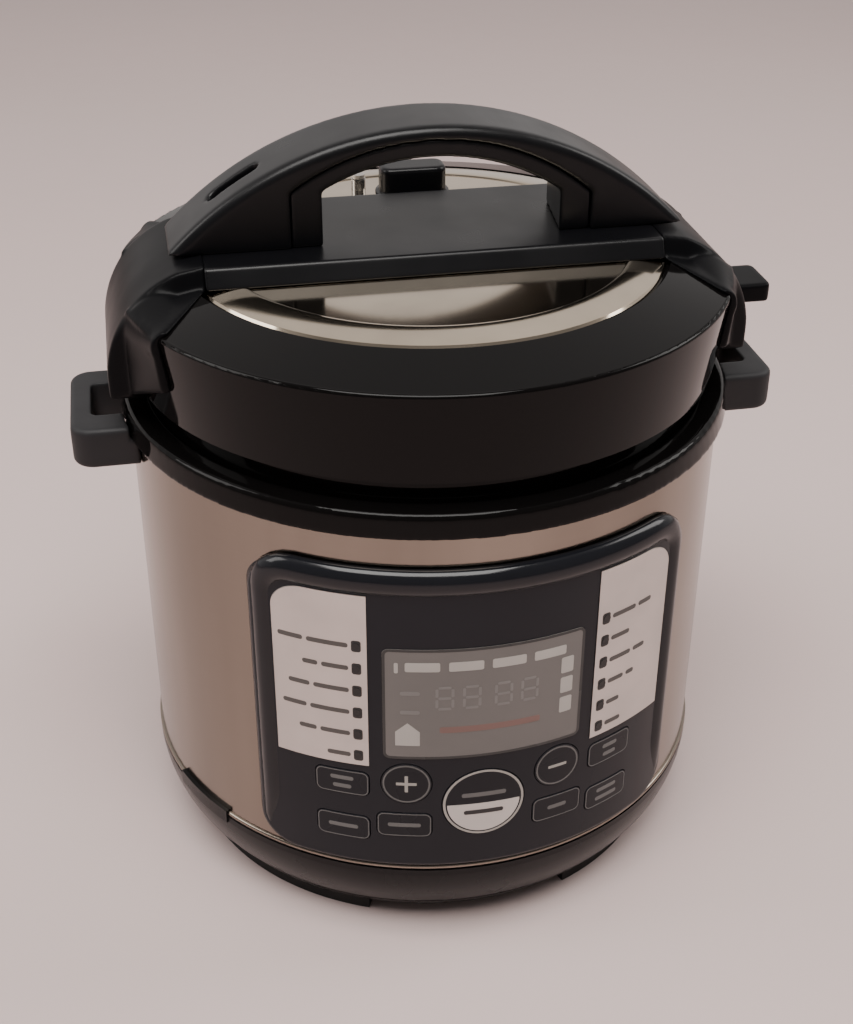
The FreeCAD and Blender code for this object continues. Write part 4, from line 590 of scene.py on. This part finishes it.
class Sheet:
    def __init__(self):
        self.shape = bmesh.new()

    def prism(self, front, back, faces):
        points = [self.shape.verts.new(point) for point in front + back]
        for face in faces:
            self.shape.faces.new([points[i] for i in face])

    def columns(self, rows, lift=0.0):
        """Rows of (along, low, high) joined into one slab."""
        count = len(rows)
        front = [(s, -lift - PAINT, z) for s, low, high in rows for z in (low, high)]
        back = [(s, -lift, z) for s, low, high in rows for z in (low, high)]
        far = 2 * count
        faces = [(0, far, far + 1, 1), (far - 2, far - 1, 2 * far - 1, 2 * far - 2)]
        for i in range(0, far - 2, 2):
            faces.append((i, i + 1, i + 3, i + 2))
            faces.append((far + i, far + i + 2, far + i + 3, far + i + 1))
            faces.append((i, i + 2, far + i + 2, far + i))
            faces.append((i + 1, far + i + 1, far + i + 3, i + 3))
        self.prism(front, back, faces)

    def band(self, outer, inner):
        """A closed ribbon between two loops of (along, height)."""
        count = len(outer)
        front = [(s, -PAINT, z) for s, z in outer + inner]
        back = [(s, 0.0, z) for s, z in outer + inner]
        far = 2 * count
        faces = []
        for i in range(count):
            j = (i + 1) % count
            faces.append((i, j, count + j, count + i))
            faces.append((far + i, far + count + i, far + count + j, far + j))
            faces.append((i, far + i, far + j, j))
            faces.append((count + i, count + j, far + count + j, far + count + i))
        self.prism(front, back, faces)

    def bar(self, middle, height, length, thick, corner=None, lift=0.0):
        corner = min(thick, length) / 2 * BAR_ROUND if corner is None else corner
        places = [corner * part for part in END_PARTS]
        inner = max(2, math.ceil((length - 2 * corner) / COLUMN_STEP))
        places += [corner + (length - 2 * corner) * i / inner for i in range(inner + 1)]
        places += [length - corner * part for part in reversed(END_PARTS)]
        rows = []
        for place in places:
            end = min(place, length - place, corner)
            half = thick / 2 - corner + math.sqrt(corner ** 2 - (corner - end) ** 2)
            rows.append((middle + place - length / 2, height - half, height + half))
        self.columns(rows, lift)

    def ring(self, middle, height, radius, width):
        turns = full_turn(CIRCLE_STEPS)
        loops = []
        for r in (radius, radius - width):
            loops.append([(middle + r * math.cos(a), height + r * math.sin(a)) for a in turns])
        self.band(*loops)

    def frame(self, middle, height, length, tall, corner, width):
        outer = rounded_loop(middle, height, length / 2, tall / 2, corner, 0.0)
        inner = rounded_loop(middle, height, length / 2, tall / 2, corner, width)
        self.band(outer, inner)


def rounded_loop(middle, height, half_length, half_tall, corner, inset):
    bends = [(1, 1, 0), (-1, 1, 90), (-1, -1, 180), (1, -1, 270)]
    loop = []
    for side, up, start in bends:
        for k in range(BEND_STEPS + 1):
            angle = math.radians(start + 90 / BEND_STEPS * k)
            s = side * (half_length - corner) + (corner - inset) * math.cos(angle)
            z = up * (half_tall - corner) + (corner - inset) * math.sin(angle)
            loop.append((middle + s, height + z))
        if up == side:
            straight = 2 * (half_length - corner)
            count = math.ceil(straight / COLUMN_STEP)
            s, z = loop[-1]
            loop += [(s - side * straight * i / count, z) for i in range(1, count)]
    return loop


print("drawing tools ready")

# %% Rolling tree
FACE_RADIUS = 134.3
PLATE_RADIUS = 134.5


def rolling_tree():
    tree = bpy.data.node_groups.new("roll_on_panel", "GeometryNodeTree")
    tree.interface.new_socket(name="Geometry", in_out="INPUT", socket_type="NodeSocketGeometry")
    tree.interface.new_socket(name="Radius", in_out="INPUT", socket_type="NodeSocketFloat")
    tree.interface.new_socket(name="Paint", in_out="INPUT", socket_type="NodeSocketMaterial")
    tree.interface.new_socket(name="Geometry", in_out="OUTPUT", socket_type="NodeSocketGeometry")
    given = tree.nodes.new("NodeGroupInput").outputs
    position = add_node(tree, "GeometryNodeInputPosition").outputs[0]
    place = add_node(tree, "ShaderNodeSeparateXYZ", Vector=position)
    turn = math_node(tree, "DIVIDE", place.outputs["X"], given["Radius"])
    reach = math_node(tree, "SUBTRACT", given["Radius"], place.outputs["Y"])
    across = math_node(tree, "MULTIPLY", reach, math_node(tree, "SINE", turn))
    ahead = math_node(tree, "MULTIPLY", reach, math_node(tree, "COSINE", turn))
    front = math_node(tree, "MULTIPLY", ahead, -1.0)
    rolled = add_node(tree, "ShaderNodeCombineXYZ", X=across, Y=front, Z=place.outputs["Z"])
    moved = add_node(tree, "GeometryNodeSetPosition", Geometry=given["Geometry"], Position=rolled.outputs[0])
    real = add_node(tree, "GeometryNodeRealizeInstances", Geometry=moved.outputs[0])
    painted = add_node(tree, "GeometryNodeSetMaterial", Geometry=real.outputs[0], Material=given["Paint"])
    end = tree.nodes.new("NodeGroupOutput")
    tree.links.new(painted.outputs[0], end.inputs[0])
    return tree


def print_sheet(name, sheet, radius, paint, body):
    mesh = bpy.data.meshes.new(name)
    bmesh.ops.scale(sheet.shape, vec=(MM, MM, MM), verts=sheet.shape.verts)
    bmesh.ops.recalc_face_normals(sheet.shape, faces=sheet.shape.faces)
    sheet.shape.to_mesh(mesh)
    sheet.shape.free()
    piece = new_piece(name, mesh)
    roll = piece.modifiers.new("roll", "NODES")
    roll.node_group = ROLLING
    for item in ROLLING.interface.items_tree:
        if item.in_out == "INPUT" and item.name == "Radius":
            roll[item.identifier] = radius * MM
        if item.in_out == "INPUT" and item.name == "Paint":
            roll[item.identifier] = paint
    plain_mesh(piece)
    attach(piece, body)
    print(name, len(piece.data.polygons), "faces")


ROLLING = rolling_tree()
print("tree", ROLLING.name, "ready")

# %% Paints
def paint(name, colour, smooth=0.4, dull=0.5, metallic=0.0):
    material = plastic(name, colour, smooth, dull, edge_highlight_gain=1.0)
    material.node_tree.nodes["Principled BSDF"].inputs["Metallic"].default_value = metallic
    return material


INK_DARK = paint("ink_dark", solid(0.03, 0.028, 0.028))
INK_WORD = paint("ink_word", solid(0.085, 0.077, 0.072))
INK_PALE = paint("ink_pale", solid(0.38, 0.36, 0.33))
INK_GREY = paint("ink_grey", solid(0.13, 0.128, 0.125))
INK_SILVER = paint("ink_silver", solid(0.6, 0.58, 0.55), metallic=0.4)
INK_FRAME = paint("ink_frame", solid(0.045, 0.043, 0.042), 0.2, 0.3)
INK_SEGMENT = paint("ink_segment", solid(0.45, 0.43, 0.4))
INK_FAINT = paint("ink_faint", solid(0.2, 0.192, 0.185))
INK_RED = paint("ink_red", solid(0.2, 0.122, 0.108))
print("paints ready")

# %% [markdown]
# ## The panel's raised rim
# The panel is framed by a rounded ridge that rises a little above its face and dies away towards the bottom.
# Along the top the ridge is wider, like a brow.
# It could be swept along a curve, but a few loops at growing insets give the same ridge with clean corners.
# The loops are drawn on the panel's front view, then laid along the arc and rolled on like the prints.

# %% Raised rim
PANEL_FACE = 134.0
PANEL_HALF = 90.0
PANEL_LOW = 44.5
PANEL_TALL = 147.5
PANEL_CORNER = 15.0
PANEL_ROUND = 3.0
RIM_SUNK = 0.3
RIM_FADE = (46.0, 76.0)
RIM_SLIM = 0.25
RIM_STEP = 5.0
BROW_FADE = (150.0, 185.0)
BROW_RISE = 3.6
# inset from the panel's outline, and height over its face
RIM_PROFILE = [
    (0.1, -3.4), (0.15, -2.2), (0.5, -0.9), (1.2, 0.2), (2.2, 1.1), (3.4, 1.7),
    (4.6, 1.8), (5.7, 1.4), (6.6, 0.7), (7.3, 0.0), (7.6, -0.5),
]
RIM_GLOSS = plastic("rim_gloss", solid(0.0075, 0.008, 0.0105), 0.12, 0.18, shine=0.36, edge_highlight_gain=1.0)


def fade(z, start, end):
    share = min(1.0, max(0.0, (z - start) / (end - start)))
    return share * share * (3 - 2 * share)


def rim_height(inset, height, z):
    side = min(inset, PANEL_ROUND)
    face = math.sqrt(PANEL_ROUND ** 2 - (PANEL_ROUND - side) ** 2) - PANEL_ROUND
    share = fade(z, *RIM_FADE)
    return share * height + (1 - share) * (face - RIM_SUNK)


def rim_point(edge, inner, inset, height):
    width = RIM_SLIM + (1 - RIM_SLIM) * fade(edge[1], *RIM_FADE)
    x, z = (outer + (point - outer) * width for outer, point in zip(edge, inner))
    brow = BROW_RISE * (1 - inset / RIM_PROFILE[-1][0]) * fade(z, *BROW_FADE)
    return PANEL_FACE * math.asin(x / PANEL_FACE), -rim_height(inset * width, height, z), z + brow


def panel_outline(inset):
    loop = rounded_loop(0, PANEL_LOW + PANEL_TALL / 2, PANEL_HALF, PANEL_TALL / 2, PANEL_CORNER, inset)
    dense = []
    for (x, z), (next_x, next_z) in zip(loop, loop[1:] + loop[:1]):
        count = math.ceil(math.hypot(next_x - x, next_z - z) / RIM_STEP)
        dense += [(x + (next_x - x) * i / count, z + (next_z - z) * i / count) for i in range(count)]
    return dense


def raised_rim():
    sheet = Sheet()
    edges = panel_outline(0)
    loops = []
    for inset, height in RIM_PROFILE:
        flat = panel_outline(inset)
        loops.append([rim_point(edge, inner, inset, height) for edge, inner in zip(edges, flat)])
    count = len(loops[0])
    points = [[sheet.shape.verts.new(point) for point in loop] for loop in loops]
    for row in range(len(loops)):
        here, after = points[row], points[(row + 1) % len(loops)]
        for i in range(count):
            j = (i + 1) % count
            sheet.shape.faces.new((here[i], here[j], after[j], after[i]))
    for face in sheet.shape.faces:
        face.smooth = True
    print_sheet("panel_raised_rim", sheet, PANEL_FACE, RIM_GLOSS, "body")


raised_rim()

# %% [markdown]
# ## Label lines and display
# Each pale plate has six lines that meet the lamps at its inner edge, and a dark surround for every lamp.
# The display is grey and unlit, so its segments are only a little paler than the window behind them.

# %% Label lines
LABEL_NEAR = 55.6
LAMP_ALONG = 52.3
LAMP_WIDE = 4.0
LAMP_TALL = 5.4
LAMP_CORNER = 1.1
LABEL_LOW = 105.0
LABEL_PITCH = 11.0
LABEL_TALL = 2.2
WORD_GAP = 1.6
SHORT_LINE = 14
FIRST_WORD = 0.58
LABEL_LENGTHS = {-1: (30, 19.5, 26, 29, 22, 10), 1: (22, 10, 20, 14.5, 7, 8.5)}


def words(length):
    if length < SHORT_LINE:
        return [length]
    first = length * FIRST_WORD
    return [first, length - first - WORD_GAP]


def label_lines():
    sheet = Sheet()
    lamps = Sheet()
    for side, lengths in LABEL_LENGTHS.items():
        for row, length in enumerate(lengths):
            height = LABEL_LOW + LABEL_PITCH * (len(lengths) - 1 - row)
            lamps.bar(side * LAMP_ALONG, height, LAMP_WIDE, LAMP_TALL, corner=LAMP_CORNER)
            start = LABEL_NEAR
            for word in words(length):
                sheet.bar(side * (start + word / 2), height, word, LABEL_TALL)
                start += word + WORD_GAP
    print_sheet("label_lines", sheet, PLATE_RADIUS, INK_WORD, "body")
    print_sheet("lamp_surrounds", lamps, PLATE_RADIUS, INK_DARK, "body")


label_lines()

# %% Display segments
DISPLAY_HIGH = 160.0
DISPLAY_LOW = 105.0
DISPLAY_MIDDLE = (DISPLAY_HIGH + DISPLAY_LOW) / 2
DISPLAY_LENGTH = 84.2
DISPLAY_CORNER = 3.0
FRAME_WIDTH = 1.2
DIGIT_TALL = 10.5
DIGIT_WIDE = 6.4
DIGIT_STROKE = 1.2
DIGIT_CORNER = 0.5
DIGIT_LEVEL = 136.0
DIGIT_PLACES = (-17.0, -6.0, 7.0, 18.0)
SYMBOL_CORNER = 0.8
TOP_SYMBOLS = [(middle, 151.5, 14.0, 4.4) for middle in (-26.0, -8.5, 9.0, 26.5)]
SIDE_SYMBOLS = [(34.5, level, 5.6, 7.8) for level in (143.5, 133.5, 123.5)]
FIRST_STROKE = (-36.5, 151.0, 1.6, 5.0)
FIRST_CORNER = 0.6
HOUSE = [(-37.0, 112.0, 119.0), (-32.0, 112.0, 123.6), (-27.0, 112.0, 119.0)]
FAINT_LINES = [(-31.0, level, 8.0, 1.8) for level in (138.5, 129.0)]
LOW_BAR = (2.0, 120.0, 42.0, 3.0)


def eight(sheet, middle, height):
    half = DIGIT_TALL / 2
    for level in (-half, 0, half):
        sheet.bar(middle, height + level, DIGIT_WIDE - DIGIT_STROKE, DIGIT_STROKE)
    for side in (-1, 1):
        for level in (-half / 2, half / 2):
            place = (middle + side * DIGIT_WIDE / 2, height + level)
            sheet.bar(*place, DIGIT_STROKE, half - DIGIT_STROKE, corner=DIGIT_CORNER)


def display_marks():
    border = Sheet()
    tall = DISPLAY_HIGH - DISPLAY_LOW
    border.frame(0, DISPLAY_MIDDLE, DISPLAY_LENGTH, tall, DISPLAY_CORNER, FRAME_WIDTH)
    print_sheet("display_border", border, FACE_RADIUS, INK_FRAME, "body")
    clear = Sheet()
    clear.bar(*FIRST_STROKE, corner=FIRST_CORNER)
    for symbol in TOP_SYMBOLS + SIDE_SYMBOLS:
        clear.bar(*symbol, corner=SYMBOL_CORNER)
    clear.columns(HOUSE)
    print_sheet("display_symbols", clear, FACE_RADIUS, INK_SEGMENT, "body")
    faint = Sheet()
    for middle in DIGIT_PLACES:
        eight(faint, middle, DIGIT_LEVEL)
    for line in FAINT_LINES:
        faint.bar(*line)
    print_sheet("display_digits", faint, FACE_RADIUS, INK_FAINT, "body")
    low = Sheet()
    low.bar(*LOW_BAR, corner=SYMBOL_CORNER)
    print_sheet("display_low_bar", low, FACE_RADIUS, INK_RED, "body")


display_marks()

# %% [markdown]
# ## Key marks
# Every key carries its marks on its own face, so they go in with the key when it is pressed.
# The six small keys have a thin frame and one or two bars, the round ones a ring with a plus or a minus.
# The big key in the middle has a silver lower half.

# %% Key marks
FACE_DEPTH = 0.1
SMALL_FRAME = {"length": 22.4, "tall": 12.1, "corner": 2.7, "width": 0.4}
SMALL_BAR = 2.0
SMALL_PITCH = 4.4
SMALL_KEYS = {
    "key_left_upper": (10.0, 8.0),
    "key_left_lower": (13.0,),
    "key_left_inner": (14.0,),
    "key_right_inner": (9.0,),
    "key_right_upper": (8.0, 7.0),
    "key_right_lower": (11.0, 12.0),
}
ROUND_RADIUS = 9.9
ROUND_WIDTH = 0.7
SIGN_LENGTH = 8.6
SIGN_STROKE = 1.4
SIGN_CORNER = 0.3
SIGN_ARM = 3.6
SIGN_ARM_MIDDLE = 2.5
CENTRE_RADIUS = 17.3
CENTRE_WIDTH = 1.0
LOWER_RADIUS = 15.6
LOWER_STEPS = 32
LOWER_GAP = 0.4
CENTRE_BAR = 2.2
UPPER_BAR_LEVEL = 4.4
UPPER_BAR_LENGTH = 19.0
LOWER_BAR_LEVEL = -5.0
LOWER_BAR_LENGTH = 17.0


def key_place(node_name):
    near = (FACE_RADIUS - FACE_DEPTH) * MM
    face_points = [v.co for v in frame["nodes"][node_name].data.vertices if v.co.xy.length > near]
    turns = [math.atan2(p.x, -p.y) for p in face_points]
    heights = [p.z / MM for p in face_points]
    return FACE_RADIUS * (min(turns) + max(turns)) / 2, (min(heights) + max(heights)) / 2


def key_print(node_name, kind, sheet, ink):
    print_sheet(node_name + "_" + kind, sheet, FACE_RADIUS, ink, body_of(node_name))


for node_name, bars in SMALL_KEYS.items():
    middle, height = key_place(node_name)
    edge = Sheet()
    edge.frame(middle, height, **SMALL_FRAME)
    key_print(node_name, "frame", edge, INK_GREY)
    marks = Sheet()
    for row, length in enumerate(bars):
        level = height + ((len(bars) - 1) / 2 - row) * SMALL_PITCH
        marks.bar(middle, level, length, SMALL_BAR)
    key_print(node_name, "bars", marks, INK_GREY)

for node_name in ("key_plus", "key_minus"):
    middle, height = key_place(node_name)
    edge = Sheet()
    edge.ring(middle, height, ROUND_RADIUS, ROUND_WIDTH)
    key_print(node_name, "ring", edge, INK_GREY)
    sign = Sheet()
    sign.bar(middle, height, SIGN_LENGTH, SIGN_STROKE, corner=SIGN_CORNER)
    if node_name == "key_plus":
        for side in (-1, 1):
            sign.bar(middle, height + side * SIGN_ARM_MIDDLE, SIGN_STROKE, SIGN_ARM, corner=SIGN_CORNER)
    key_print(node_name, "sign", sign, INK_PALE)

middle, height = key_place("key_centre")
rim = Sheet()
rim.ring(middle, height, CENTRE_RADIUS, CENTRE_WIDTH)
key_print("key_centre", "rim", rim, INK_PALE)
lower = Sheet()
steps = [LOWER_RADIUS * math.sin(math.pi * (i / LOWER_STEPS - 0.5)) for i in range(1, LOWER_STEPS)]
depths = [math.sqrt(LOWER_RADIUS ** 2 - s * s) for s in steps]
lower.columns([(middle + s, height - depth, height - LOWER_GAP) for s, depth in zip(steps, depths)])
key_print("key_centre", "lower_half", lower, INK_SILVER)
upper_bar = Sheet()
upper_bar.bar(middle, height + UPPER_BAR_LEVEL, UPPER_BAR_LENGTH, CENTRE_BAR)
key_print("key_centre", "upper_bar", upper_bar, INK_GREY)
lower_bar = Sheet()
lower_bar.bar(middle, height + LOWER_BAR_LEVEL, LOWER_BAR_LENGTH, CENTRE_BAR, lift=PAINT)
key_print("key_centre", "lower_bar", lower_bar, INK_DARK)

# %% [markdown]
# ## Floor and light
# The cooker stands on a plain pale floor, lit softly from above so that dark plastic still shows its shape.
# A tall soft panel on each side draws upright streaks in the glossy band of the lid.

# %% Floor and lights
FLOOR_COLOUR = solid(0.595, 0.472, 0.454)
FLOOR_SWING = (0.97, 1.03)
FLOOR_DRIFT = 2.5
FLOOR_ROUGHNESS = (0.75, 0.85)
FLOOR_HALF = 8.0
LAMP_COLOUR = (1.0, 0.97, 0.94)
BEHIND_RANGE = (-0.35, 0.55)
OVERHEAD_RANGE = (0.87, 0.95)
MIDDLE = (0.0, 0.0, 0.17)


def floor_finish():
    material, tree, shader = new_finish("floor_pale")
    grains = use_group(tree, "grain", Drift=FLOOR_DRIFT)
    put(tree, shader.inputs["Base Color"], swing(tree, grains["Tone"], FLOOR_COLOUR, FLOOR_SWING))
    put(tree, shader.inputs["Roughness"], handled(tree, *FLOOR_ROUGHNESS))
    return material


def floor():
    mesh = bpy.data.meshes.new("floor")
    corners = [(x * FLOOR_HALF, y * FLOOR_HALF, 0) for x, y in ((-1, -1), (1, -1), (1, 1), (-1, 1))]
    mesh.from_pydata(corners, [], [(0, 1, 2, 3)])
    mesh.materials.append(floor_finish())
    item = bpy.data.objects.new("floor", mesh)
    bpy.context.scene.collection.objects.link(item)


def soft_light(name, place, width, height, watts):
    data = bpy.data.lights.new(name, "AREA")
    data.shape = "RECTANGLE"
    data.size = width
    data.size_y = height
    data.energy = watts
    data.color = LAMP_COLOUR
    lamp = bpy.data.objects.new(name, data)
    bpy.context.scene.collection.objects.link(lamp)
    lamp.location = place
    lamp.rotation_euler = (Vector(MIDDLE) - Vector(place)).to_track_quat("-Z", "Y").to_euler()


def pale_world(back, front, overhead):
    """A room that is pale behind the cooker and dimmer in front of it and overhead."""
    world = bpy.data.worlds.new("pale_room")
    world.use_nodes = True
    tree = world.node_tree
    direction = add_node(tree, "ShaderNodeTexCoord").outputs["Generated"]
    way = add_node(tree, "ShaderNodeSeparateXYZ", Vector=direction).outputs
    behind = stretch(tree, way["Y"], *BEHIND_RANGE, 0.0, 1.0)
    wall = blend_colours(tree, behind, front, back)
    high = stretch(tree, way["Z"], *OVERHEAD_RANGE, 0.0, 1.0)
    room = blend_colours(tree, high, wall, overhead)
    tree.links.new(room, tree.nodes["Background"].inputs["Color"])
    bpy.context.scene.world = world


floor()
pale_world(
    back=solid(0.8, 0.76, 0.74),
    front=solid(0.2, 0.19, 0.185),
    overhead=solid(0.16, 0.155, 0.155),
)
soft_light("overhead", (-0.2, -0.7, 2.1), width=1.6, height=1.2, watts=62.0)
soft_light("right_side", (1.5, 0.1, 1.3), width=0.7, height=1.0, watts=12.0)
soft_light("left_side", (-1.5, 0.2, 1.2), width=0.7, height=1.0, watts=10.0)
print("lights ready")
